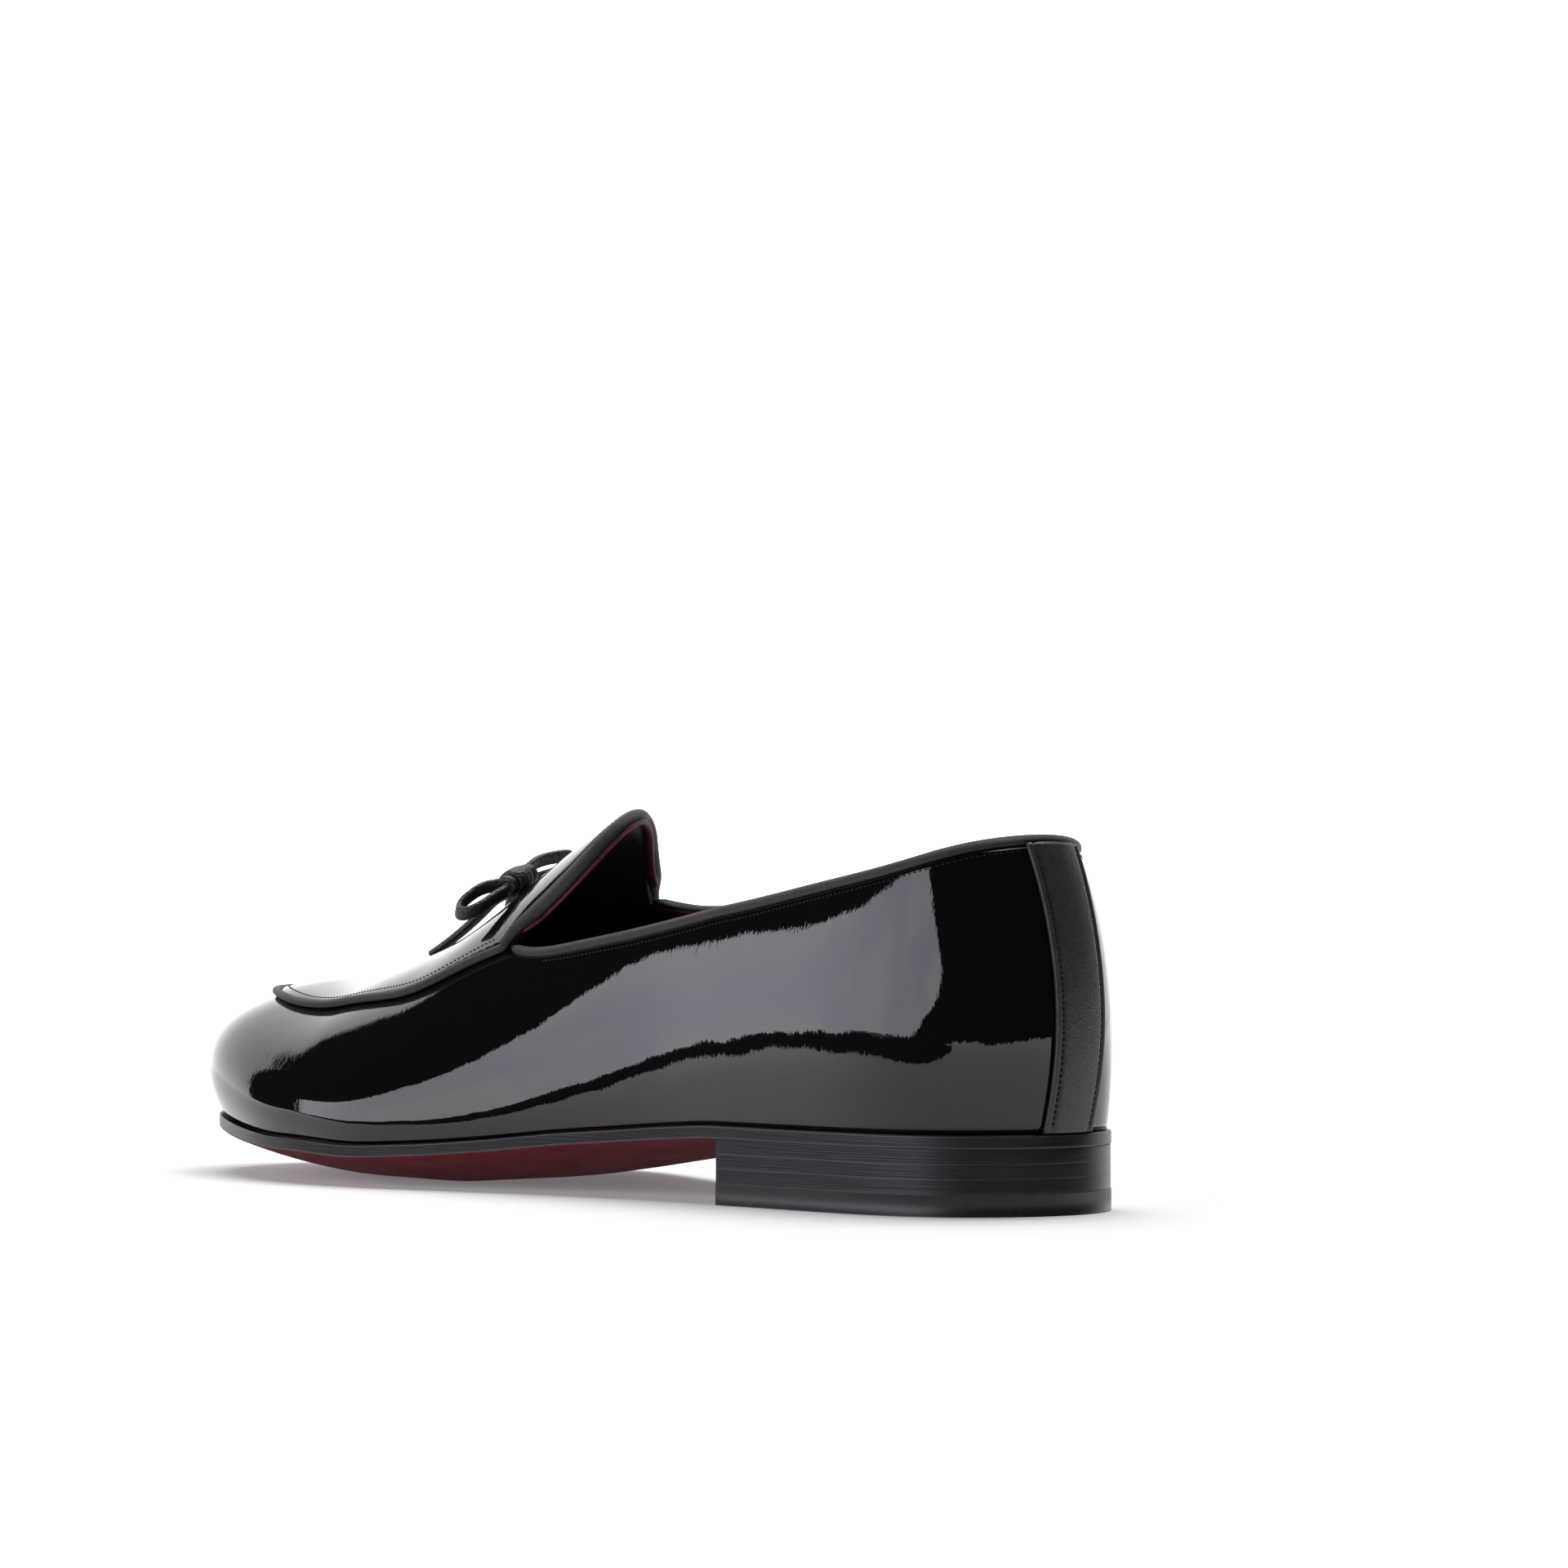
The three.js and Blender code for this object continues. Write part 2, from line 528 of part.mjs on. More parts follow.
// Cutting one closed mesh by another
function toSolid(geometry) {
  const bare = new THREE.BufferGeometry();
  bare.setAttribute('position', geometry.getAttribute('position').clone());
  bare.setIndex(geometry.getIndex());
  const merged = mergeVertices(bare, 1e-4);
  const vertProperties = new Float32Array(merged.getAttribute('position').array);
  const triVerts = new Uint32Array(merged.getIndex().array);
  return new wasm.Manifold(new wasm.Mesh({ numProp: 3, vertProperties, triVerts }));
}

// The main piece of a mesh after the tools are taken from it
function cut(geometry, ...tools) {
  const result = tools.reduce((solid, tool) => solid.subtract(toSolid(tool)), toSolid(geometry));
  const main = result.decompose().sort((a, b) => b.volume() - a.volume())[0];
  const { vertProperties, triVerts } = main.getMesh();
  return closedGeometry(Array.from(vertProperties), Array.from(triVerts));
}

// Lines of the upper

const throats = [turnAt(THROAT.lateral), 2 - turnAt(THROAT.medial)];
const toplineLateral = column(TOPLINE, 'lateral', smoothCurve);
const toplineMedial = column(TOPLINE, 'medial', smoothCurve);

// Climb of the wall's edge under the topline's binding
function toplineClimb(turn) {
  const col = columnAt(turn);
  const along = Math.max(col.foot.x, 0) / LENGTH;
  const share = turn < 1 ? toplineLateral(along) : toplineMedial(along);
  const target = share * COUNTER_HEIGHT - BINDING_HEIGHT - GAP;
  let low = 0;
  let high = 1;
  for (let i = 0; i < 40; i++) {
    const mid = (low + high) / 2;
    if (pointOn(col, mid).z - soleEdgeTop(along) < target) low = mid; else high = mid;
  }
  return low;
}

const seamClimb = (() => {
  const lateral = APRON_SEAM.map((row) => ({ turn: turnAt(row.along), climb: row.lateral }));
  const medial = APRON_SEAM.map((row) => ({ turn: 2 - turnAt(row.along), climb: row.medial })).reverse();
  const rows = [
    { turn: throats[0], climb: toplineClimb(throats[0]) },
    ...lateral,
    { turn: 1, climb: APRON_FRONT },
    ...medial,
    { turn: throats[1], climb: toplineClimb(throats[1]) },
  ];
  return smoothCurve(rows.map((row) => row.turn), rows.map((row) => row.climb));
})();
const seamAt = (turn) => patternAt(turn, seamClimb(turn));

// Edge of the upper's wall round the tongue, share 0 at the lateral throat and 1 at the medial
const tongueWall = (() => {
  const tip = new THREE.Vector2(TONGUE_TIP.along * LENGTH, TONGUE_TIP.side * BALL_WIDTH);
  const middle = new THREE.Vector2(THROAT.medial * LENGTH, tip.y);
  const within = (along, side) => {
    const point = new THREE.Vector2(along * LENGTH, side * BALL_WIDTH);
    return point.addScaledVector(middle.clone().sub(point).normalize(), TONGUE_BINDING_DIAMETER + GAP);
  };
  const points = [
    seamAt(throats[0]),
    ...TONGUE.map((row) => within(row.along, row.lateral)),
    within(TONGUE_TIP.along, TONGUE_TIP.side),
    ...TONGUE.map((row) => within(row.along, row.medial)).reverse(),
    seamAt(throats[1]),
  ];
  const chord = points.map((p, i) => (i ? p.distanceTo(points[i - 1]) : 0));
  const travel = chord.map((_, i) => chord.slice(0, i + 1).reduce((sum, c) => sum + c, 0));
  const total = travel.at(-1);
  const curveX = smoothCurve(travel, points.map((p) => p.x));
  const curveY = smoothCurve(travel, points.map((p) => p.y));
  return (share) => new THREE.Vector2(curveX(share * total), curveY(share * total));
})();

const spread = (count, from, to) => Array.from({ length: count + 1 }, (_, i) => from + (to - from) * i / count);

// Sole

const flatSpot = [0.69, 0.75];
const soleTurns = [...spread(SOLE_STATIONS, 0, 1), turnAt(SEAT_END), ...flatSpot.map(turnAt)]
  .sort((a, b) => a - b);
const halfWidthAt = (along) => {
  const turn = turnAt(along);
  return { middle: (outlineSide(turn) + outlineSide(2 - turn)) / 2, half: (outlineSide(turn) - outlineSide(2 - turn)) / 2 };
};
function soleUnderside(point) {
  const along = THREE.MathUtils.clamp(point.x / LENGTH, 0, 1);
  const { middle, half } = halfWidthAt(along);
  return undersideHeight(along, point.y - middle, half);
}

const shoe = new THREE.Group();
shoe.name = 'belgian_loafer';
const PATENT = { color: 0x0b0b0d, roughness: 0.06, metalness: 0 };
const CALF = { color: 0x17161a, roughness: 0.5, metalness: 0 };
const SOLE_LEATHER = { color: 0x1d1c1f, roughness: 0.42, metalness: 0 };
const RUBBER = { color: 0x222124, roughness: 0.6, metalness: 0 };
const SOCK = { color: 0x141114, roughness: 0.6, metalness: 0 };
const LACE = { color: 0x24221f, roughness: 0.6, metalness: 0 };

function add(name, geometry, finish) {
  const mesh = new THREE.Mesh(geometry, new THREE.MeshStandardMaterial(finish));
  mesh.name = name;
  shoe.add(mesh);
  return mesh;
}

add('outsole', slab(soleTurns, 0, soleUnderside, (p) => soleUnderside(p) + SOLE_THICKNESS), SOLE_LEATHER);

const heelTurns = spread(HEEL_STATIONS, 0, turnAt(HEEL_LENGTH / LENGTH));
const liftThickness = (HEEL_HEIGHT - TOP_PIECE_THICKNESS) / LIFT_COUNT;
add('top_piece', slab(heelTurns, 0, () => 0, () => TOP_PIECE_THICKNESS, HEEL_STRIPS), RUBBER);
for (let i = 0; i < LIFT_COUNT; i++) {
  const bottom = TOP_PIECE_THICKNESS + i * liftThickness;
  const lift = slab(heelTurns, LIFT_INSET, () => bottom, () => bottom + liftThickness, HEEL_STRIPS);
  add(`heel_lift_${i + 1}`, lift, SOLE_LEATHER);
}

const insoleInset = FEATHER_INSET + WALL + GAP;
const insoleFloor = (p) => soleUnderside(p) + SOLE_THICKNESS + GAP;
add('insole', slab(soleTurns, insoleInset, insoleFloor, (p) => insoleFloor(p) + INSOLE_THICKNESS), SOCK);

// Upper

const quarterTurns = spread(QUARTER_COLUMNS, throats[1] - 2, throats[0]).slice(1, -1)
  .map((turn) => (turn < 0 ? turn + 2 : turn));
const vampTurns = spread(VAMP_COLUMNS, ...throats);
const edgeClimb = (turn) => (
  turn > throats[0] && turn < throats[1] ? seamClimb(turn) : toplineClimb(turn));
const bandRows = spread(WALL_ROWS, 0, 1).map((share) =>
  [...vampTurns, ...quarterTurns.filter((t) => t > 1), ...quarterTurns.filter((t) => t < 1)]
    .map((turn) => patternAt(turn, share * edgeClimb(turn))));
const apronRows = spread(APRON_ROWS, 0, 1).map((share) =>
  vampTurns.map((turn, i) => seamAt(turn).lerp(tongueWall(i / VAMP_COLUMNS), share)));
add('upper', sheet([{ rows: bandRows, wrapped: true }, { rows: apronRows, wrapped: false }], -WALL, 0), PATENT);

// Apron: a ring of piping on its seam, which runs on as the binding of the tongue's edge

const tongueTravel = spread(VAMP_COLUMNS, 0, 1).map(tongueWall).map((pattern) => place(pattern).point)
  .map((point, i, all) => (i ? point.distanceTo(all[i - 1]) : 0));
const travelled = (steps) => steps.map((_, i) => steps.slice(0, i + 1).reduce((sum, step) => sum + step, 0));
const fromLateral = travelled(tongueTravel);
const fromMedial = fromLateral.map((length) => fromLateral.at(-1) - length);

// part: 0 where the ring lies on the seam, 1 where it wraps the tongue's edge
const ring = [
  ...vampTurns.map((turn) => ({ pattern: seamAt(turn), part: 0 })),
  ...spread(VAMP_COLUMNS, 1, 0).map((share, i) => {
    const along = Math.min(fromLateral[VAMP_COLUMNS - i], fromMedial[VAMP_COLUMNS - i]);
    return { pattern: tongueWall(share), part: THREE.MathUtils.smoothstep(along, 0, BINDING_TURN) };
  }).slice(1, -1),
].map((spot, i, all) => {
  const before = all.at(i - 1);
  const after = all[(i + 1) % all.length];
  const { point, outward } = place(spot.pattern);
  const ahead = after.point ?? place(after.pattern).point;
  const tangent = ahead.clone().sub(before.point ?? place(before.pattern).point).normalize();
  const across = outward.clone().cross(tangent).normalize();
  const radius = THREE.MathUtils.lerp(PIPING_DIAMETER, TONGUE_BINDING_DIAMETER, spot.part) / 2;
  const angle = (1 - spot.part) * Math.PI / 2;
  return { ...spot, point, outward, across, radius, angle };
});

// Places beside the ring's line: away over the leather and off its face
const beside = (spot, away, lift) => spot.point.clone()
  .addScaledVector(spot.across, away).addScaledVector(spot.outward, lift);
const ringRoll = (extra) => roll(ring.map((spot) => {
  const reach = spot.radius + GAP;
  const centre = beside(spot, reach * Math.cos(spot.angle), reach * Math.sin(spot.angle));
  const half = spot.radius + extra;
  return { centre, across: spot.across, rise: spot.outward, halfWidth: half, halfHeight: half };
}), true);
add('apron_piping', ringRoll(0), CALF);

// The plug lies on the upper inside the ring
function insideRing(i) {
  const spot = ring.at(i);
  const inset = (spot.radius + GAP) * (1 - Math.cos(spot.angle)) + GAP;
  const next = ring.at((i + 1) % ring.length).pattern;
  const along = next.clone().sub(ring.at(i - 1).pattern).normalize();
  const inwards = new THREE.Vector2(along.y, -along.x);
  const step = 0.5;
  const moved = place(spot.pattern.clone().addScaledVector(inwards, step)).point.clone().sub(spot.point);
  return spot.pattern.clone().addScaledVector(inwards, inset * step / -moved.dot(spot.across));
}
const plugRows = spread(APRON_ROWS, 0, 1).map((share) =>
  vampTurns.map((_, i) => insideRing(i).lerp(insideRing(i ? -i : 0), share)));
const plug = sheet([{ rows: plugRows, wrapped: false }], PLUG_GAP, GAP + OVERLAY_THICKNESS);
add('apron_plug', cut(plug, ringRoll(GAP)), PATENT);

// Collar binding: on the wall's edge from one throat round the heel to the other
const collarTurns = [throats[1], ...quarterTurns, throats[0]];
const collarSpots = collarTurns.map((turn) => place(patternAt(turn, toplineClimb(turn))));
const collar = roll(collarSpots.map((spot, i, all) => {
  const before = all[Math.max(i - 1, 0)].point;
  const after = all[Math.min(i + 1, all.length - 1)].point;
  const upwards = after.clone().sub(before).cross(spot.outward).normalize();
  if (upwards.z < 0) upwards.negate();
  const centre = spot.point.clone()
    .addScaledVector(upwards, GAP + BINDING_HEIGHT / 2).addScaledVector(spot.outward, GAP - WALL / 2);
  return { centre, across: spot.outward, rise: upwards, halfWidth: BINDING_WIDTH / 2, halfHeight: BINDING_HEIGHT / 2 };
}), false);
const fence = roll(ring.map((spot) => ({
  centre: beside(spot, -WALL / 2, -WALL / 2),
  across: spot.across, rise: spot.outward, halfWidth: WALL / 2 + 2 * GAP, halfHeight: 2 * WALL,
})), true);
add('collar_binding', cut(collar, ringRoll(GAP), fence), CALF);

// Back stay: a strip up the back seam
const stayEdge = ['lateral', 'medial'].map((name) =>
  smoothCurve(BACK_STAY.map((row) => row.up), BACK_STAY.map((row) => row[name] * HEEL_WIDTH)));
function beyondBack(side, share) {
  let low = -throats[0];
  let high = throats[0];
  const climb = (turn) => share * toplineClimb(turn < 0 ? turn + 2 : turn);
  for (let i = 0; i < 40; i++) {
    const mid = (low + high) / 2;
    if (pointOn(columnAt(mid), climb(mid)).y < side) low = mid; else high = mid;
  }
  return patternAt(low, climb(low));
}
const stayRows = spread(STAY_ROWS, 0, 1).map((share) =>
  spread(STAY_STRIPS, stayEdge[1](share), stayEdge[0](share)).map((side) => beyondBack(side, share)));
add('back_stay', sheet([{ rows: stayRows, wrapped: false }], GAP, GAP + OVERLAY_THICKNESS), CALF);

// Bow of leather lace on the apron

const bowSeat = (() => {
  const pattern = new THREE.Vector2(BOW_SEAT.along * LENGTH, BOW_SEAT.side * BALL_WIDTH);
  const near = (dx) => place(new THREE.Vector2(pattern.x + dx, pattern.y)).point;
  const { point, outward } = place(pattern);
  const ahead = near(0.5).sub(near(-0.5)).projectOnPlane(outward).normalize();
  const side = outward.clone().cross(ahead);
  const origin = point.clone().addScaledVector(outward, OVERLAY_THICKNESS + 2 * GAP);
  return new THREE.Matrix4().makeBasis(ahead, side, outward).setPosition(origin);
})();
const bowPoint = ({ ahead, side, rise }) => new THREE.Vector3(ahead, side, rise);

// Its broad side faces the direction `face`
function lace(points, face) {
  const curve = new THREE.CatmullRomCurve3(points.map(bowPoint));
  const stations = spread((points.length - 1) * LACE_STEPS, 0, 1).map((share) => {
    const tangent = curve.getTangent(share);
    const across = face.clone().projectOnPlane(tangent).normalize();
    return {
      centre: curve.getPoint(share), across, rise: tangent.cross(across),
      halfWidth: LACE_WIDTH / 2, halfHeight: LACE_THICKNESS / 2,
    };
  });
  return roll(stations, false).applyMatrix4(bowSeat);
}
const acrossLoop = new THREE.Vector3(1, 0, -0.6);
const acrossTail = new THREE.Vector3(0, 1, 0.15);
for (const [name, points] of Object.entries(BOW)) {
  add(name, lace(points, name.includes('loop') ? acrossLoop : acrossTail), LACE);
}
const knot = roll(spread(4, -0.5, 0.5).map((share) => {
  const swell = Math.sqrt(1 - 1.9 * share ** 2);
  return {
    centre: new THREE.Vector3(0, KNOT_SIDE + share * KNOT_WIDTH, KNOT_HEIGHT / 2),
    across: new THREE.Vector3(0, 0, 1), rise: new THREE.Vector3(1, 0, 0),
    halfWidth: swell * KNOT_HEIGHT / 2, halfHeight: swell * KNOT_LENGTH / 2,
  };
}), false).applyMatrix4(bowSeat);
add('bow_knot', knot, LACE);

// The origin goes to the floor under the middle of the box
const box = new THREE.Box3().setFromObject(shoe, true);
const middle = box.getCenter(new THREE.Vector3());
shoe.position.set(-middle.x, -middle.y, -box.min.z);

export default shoe;
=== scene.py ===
# %% [markdown]
# # A patent leather slip-on with a piped apron and a little bow
# The shoe is a left one. A shoemaker pulls the upper over a last, sews the apron to the vamp
# with a rolled piping, binds the raw edges, and closes the shoe with a leather sole and heel.
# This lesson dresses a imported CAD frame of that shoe. The frame comes first, because every
# piece rides on it and takes its place from it.

# %% Load the frame
import json
import math
import bmesh
import bpy
import numpy as np
from mathutils import Matrix, Vector


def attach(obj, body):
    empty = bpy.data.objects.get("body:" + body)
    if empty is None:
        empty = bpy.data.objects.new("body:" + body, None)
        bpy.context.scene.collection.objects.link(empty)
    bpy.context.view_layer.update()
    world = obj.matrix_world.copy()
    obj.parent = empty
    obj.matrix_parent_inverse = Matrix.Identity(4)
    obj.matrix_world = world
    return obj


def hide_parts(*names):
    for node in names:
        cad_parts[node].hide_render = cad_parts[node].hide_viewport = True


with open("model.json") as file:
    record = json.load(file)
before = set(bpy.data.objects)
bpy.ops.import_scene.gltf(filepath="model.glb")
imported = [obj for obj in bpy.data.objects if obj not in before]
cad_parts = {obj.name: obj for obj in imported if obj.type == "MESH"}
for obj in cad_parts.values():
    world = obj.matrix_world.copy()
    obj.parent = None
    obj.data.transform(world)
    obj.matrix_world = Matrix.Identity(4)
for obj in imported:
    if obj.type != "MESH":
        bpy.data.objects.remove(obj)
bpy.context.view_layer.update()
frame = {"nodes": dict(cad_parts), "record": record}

print("nodes:", sorted(frame["nodes"]))

# %% [markdown]
# ## One frame for the last and the model
# The last is described in millimetres from the back of the sole, with x towards the toe and
# y towards the lateral side. The model's origin lies under the middle of the shoe's box. The
# forefoot's resting place is stated in the record on the last's middle line, so it tells how
# far the two frames are apart.

# %% From the last's millimetres to the model's metres
LENGTH = 295.0
BALL_WIDTH = 101.0
HEEL_WIDTH = 65.0
HEEL_LENGTH = 82.0
HEEL_HEIGHT = 14.9
FOREFOOT_REST = 0.72           # share of LENGTH
rest = next(m for m in frame["record"]["mounts"] if m["name"] == "forefoot_rest")["pos_m"]
last_origin = np.array([rest[0] - FOREFOOT_REST * LENGTH / 1000, rest[1], rest[2]])


def in_model(points):
    return np.asarray(points, float) / 1000 + last_origin


print("last's origin in the model, m:", last_origin.round(5).tolist())

# %% [markdown]
# ## The camera
# The photograph was taken with a long lens from behind the shoe's lateral side, a little
# above the floor. Its distance, height and direction were found from the heel and the sole.

# %% Camera at the photograph's angle
PHOTO_SIZE = 1920
FOCAL_PIXELS = 9800
CAMERA_TURN = math.radians(49.5)
CAMERA_DISTANCE = 1800.0
CAMERA_HEIGHT = 103.8
CAMERA_PITCH = math.radians(0.26)
AIM_ALONG = 34.0               # the camera stands off to the side of this place on the last
AIM_SIDE = 40.4

to_right = np.array([-math.cos(CAMERA_TURN), -math.sin(CAMERA_TURN), 0])
away = np.array([math.sin(CAMERA_TURN), -math.cos(CAMERA_TURN), 0])
upwards = np.array([0.0, 0.0, 1.0])
eye = (np.array([AIM_ALONG, 0, 0]) - AIM_SIDE * to_right - CAMERA_DISTANCE * away
       + CAMERA_HEIGHT * upwards)
view_axis = away * math.cos(CAMERA_PITCH) - upwards * math.sin(CAMERA_PITCH)

camera_data = bpy.data.cameras.new("camera")
camera_data.sensor_width = 36
camera_data.lens = 36 * FOCAL_PIXELS / PHOTO_SIZE
camera_data.clip_end = 50
camera = bpy.data.objects.new("camera", camera_data)
camera.location = in_model(eye)
camera.rotation_euler = Vector(view_axis).to_track_quat("-Z", "Y").to_euler()
bpy.context.collection.objects.link(camera)
bpy.context.scene.camera = camera
print("camera at", [round(v, 3) for v in camera.location], "lens", round(camera_data.lens, 1))

# %% [markdown]
# ## Curves through a few rows
# A shoemaker's tables give sizes at a few places only. A cubic spline runs smoothly through
# them. A second kind of curve never overshoots its rows, which keeps the flat stretches of
# the sole flat.

# %% Curves through short tables


def smooth_curve(xs, ys):
    """Cubic spline with free ends, for arrays of places."""
    xs, ys = np.asarray(xs, float), np.asarray(ys, float)
    gaps = np.diff(xs)
    system = np.eye(len(xs))
    right = np.zeros(len(xs))
    for i in range(1, len(xs) - 1):
        system[i, i - 1:i + 2] = gaps[i - 1], 2 * (gaps[i - 1] + gaps[i]), gaps[i]
        right[i] = 6 * ((ys[i + 1] - ys[i]) / gaps[i] - (ys[i] - ys[i - 1]) / gaps[i - 1])
    bend = np.linalg.solve(system, right)

    def curve(x):
        x = np.asarray(x, float)
        k = np.clip(np.searchsorted(xs, x, side="right") - 1, 0, len(xs) - 2)
        a = (xs[k + 1] - x) / gaps[k]
        b = (x - xs[k]) / gaps[k]
        cubic = (a ** 3 - a) * bend[k] + (b ** 3 - b) * bend[k + 1]
        return a * ys[k] + b * ys[k + 1] + cubic * gaps[k] ** 2 / 6
    return curve


def steady_curve(xs, ys):
    """Cubic curve that stays level between two equal rows."""
    xs, ys = np.asarray(xs, float), np.asarray(ys, float)
    gaps = np.diff(xs)
    slopes = np.diff(ys) / gaps
    tangents = np.zeros(len(xs))
    for i in range(1, len(xs) - 1):
        if slopes[i - 1] * slopes[i] > 0:
            tangents[i] = 2 * slopes[i - 1] * slopes[i] / (slopes[i - 1] + slopes[i])
    tangents[-1] = slopes[-1]

    def curve(x):
        x = np.asarray(x, float)
        k = np.clip(np.searchsorted(xs, x, side="right") - 1, 0, len(xs) - 2)
        t = np.clip((x - xs[k]) / gaps[k], 0, 1)
        rise = t * t * (3 - 2 * t)
        return (ys[k] + (ys[k + 1] - ys[k]) * rise
                + gaps[k] * (tangents[k] * t * (1 - t) ** 2 - tangents[k + 1] * t * t * (1 - t)))
    return curve


def column_of(rows, number, kind=smooth_curve):
    return kind([row[0] for row in rows], [row[number] for row in rows])


print("curve through 0, 1, 0 at its middle:", float(smooth_curve([0, 1, 2], [0, 1, 0])(1.0)))

# %% [markdown]
# ## The outline of the sole
# The outline is told by how far it stands off the middle line at a share of the length. A
# turn round the shoe runs from 0 at the heel over the lateral side to 1 at the toe tip, and
# back over the medial side to 2.

# %% Outline of the sole
# along, width that the shares are of, lateral, medial
OUTLINE = [
    (0.010, HEEL_WIDTH, 0.205, -0.205), (0.040, HEEL_WIDTH, 0.378, -0.378),
    (0.115, HEEL_WIDTH, 0.495, -0.492), (0.200, HEEL_WIDTH, 0.505, -0.495),
    (0.290, HEEL_WIDTH, 0.502, -0.469), (0.360, BALL_WIDTH, 0.325, -0.282),
    (0.440, BALL_WIDTH, 0.347, -0.287), (0.520, BALL_WIDTH, 0.391, -0.332),
    (0.600, BALL_WIDTH, 0.455, -0.411), (0.660, BALL_WIDTH, 0.495, -0.470),
    (0.720, BALL_WIDTH, 0.500, -0.500), (0.790, BALL_WIDTH, 0.475, -0.495),
    (0.860, BALL_WIDTH, 0.407, -0.447), (0.925, BALL_WIDTH, 0.307, -0.362),
    (0.970, BALL_WIDTH, 0.188, -0.260), (0.993, BALL_WIDTH, 0.070, -0.156),
]
TOE_SHIFT = -0.045             # toe tip off the middle line, share of BALL_WIDTH


def turn_at(along):
    return np.arccos(1 - 2 * np.asarray(along, float)) / math.pi


def along_at(turn):
    return (1 - np.cos(math.pi * np.asarray(turn, float))) / 2


lap = ([(0.0, 0.0)] + [(float(turn_at(a)), width * lateral) for a, width, lateral, _ in OUTLINE]
       + [(1.0, TOE_SHIFT * BALL_WIDTH)]
       + [(2 - float(turn_at(a)), width * medial) for a, width, _, medial in reversed(OUTLINE)])
side_at = smooth_curve([turn + shift for shift in (-2, 0, 2) for turn, _ in lap],
                       [y for _ in range(3) for _, y in lap])


def outline_at(turn, inset=0.0):
    """Plan of the sole's edge, moved inwards by inset."""
    turn = np.asarray(turn, float)
    step = 1e-4
    run = LENGTH * (along_at(turn + step) - along_at(turn - step))
    rise = side_at(turn + step) - side_at(turn - step)
    length = np.hypot(run, rise)
    return np.stack([LENGTH * along_at(turn) + inset * rise / length,
                     side_at(turn) - inset * run / length], axis=-1)


ball_turn = float(turn_at(0.72))
print("width across the ball, mm:", round(float(side_at(ball_turn) - side_at(2 - ball_turn)), 1))

# %% [markdown]
# ## The underside of the sole
# From the heel's breast the sole runs down over the waist to the ball, where it touches the
# floor, and rises again to the toe. It is a little round across, so its edge stands higher
# than its middle, and a strip of the red bottom shows under the edge.

# %% Heights of the sole
SOLE_THICKNESS = 3.2
SOLE_CROWN = 6.6
SOLE_FLAT_WIDTH = 24.0
TOE_SPRING = 12.0
GAP = 0.3
SEAT_END = (HEEL_LENGTH + 1.5) / LENGTH
BALL_START = 0.68


def waist(share):
    return SEAT_END + (BALL_START - SEAT_END) * share


# along, share of HEEL_HEIGHT, share of TOE_SPRING, share of SOLE_CROWN
UNDERSIDE = [
    (0.0, 1, 0, 0), (waist(0), 1, 0, 0), (waist(0.12), 0.86, 0, 0.22),
    (waist(0.30), 0.62, 0, 0.53), (waist(0.48), 0.42, 0, 0.73), (waist(0.65), 0.24, 0, 0.83),
    (waist(0.82), 0.09, 0, 0.94), (BALL_START, 0, 0, 1.04), (0.76, 0, 0, 1.16),
    (0.82, 0, 0.09, 1.14), (0.87, 0, 0.26, 1.00), (0.92, 0, 0.50, 0.74), (0.96, 0, 0.73, 0.40),
    (1.00, 0, 1, 0),
]
heel_share, toe_share, crown_share = (column_of(UNDERSIDE, n, steady_curve) for n in (1, 2, 3))


def middle_height(along):
    return heel_share(along) * HEEL_HEIGHT + toe_share(along) * TOE_SPRING


def sole_edge_top(along):
    return middle_height(along) + crown_share(along) * SOLE_CROWN + SOLE_THICKNESS


def sole_underside(plan):
    along = np.clip(plan[..., 0] / LENGTH, 0, 1)
    turn = turn_at(along)
    middle = (side_at(turn) + side_at(2 - turn)) / 2
    half = (side_at(turn) - side_at(2 - turn)) / 2
    flat = np.minimum(SOLE_FLAT_WIDTH / 2, half / 2)
    reach = np.maximum(0, np.abs(plan[..., 1] - middle) - flat) / np.maximum(half - flat, 1)
    return middle_height(along) + crown_share(along) * SOLE_CROWN * reach ** 1.6


print("sole's edge above the floor at the ball, mm:", round(float(sole_edge_top(0.72)), 1))

# %% [markdown]
# ## The last
# The last is a set of columns. Each starts at the sole's edge, swells a little outwards and
# bends over to the ridge, which runs from the heel to the toe. A short table of sections says
# how high the ridge is, how round the top, and how straight each wall.

# %% Columns of the last
FEATHER_INSET = 1.0
INSTEP_HEIGHT = 78.0
# along, ridge, shift, crown, wall lateral, wall medial, flare lateral, flare medial
SECTIONS = [
    (0.00, 1.18, 0.000, 0.21, 0.55, 0.55, 0.22, 0.22),
    (0.15, 1.16, -0.010, 0.19, 0.62, 0.62, 0.15, 0.13),
    (0.30, 1.12, -0.020, 0.18, 0.62, 0.66, 0.10, 0.05),
    (0.42, 1.06, -0.035, 0.17, 0.56, 0.65, 0.07, 0.03),
    (0.50, 0.975, -0.045, 0.16, 0.46, 0.61, 0.06, 0.04),
    (0.58, 0.862, -0.050, 0.16, 0.38, 0.56, 0.07, 0.08),
    (0.66, 0.688, -0.050, 0.18, 0.41, 0.52, 0.10, 0.12),
    (0.74, 0.545, -0.048, 0.20, 0.50, 0.56, 0.15, 0.16),
    (0.82, 0.45, -0.046, 0.20, 0.64, 0.66, 0.22, 0.22),
    (0.90, 0.42, -0.045, 0.19, 0.80, 0.80, 0.32, 0.32),
    (1.00, 0.40, -0.045, 0.17, 0.88, 0.88, 0.40, 0.40),
]
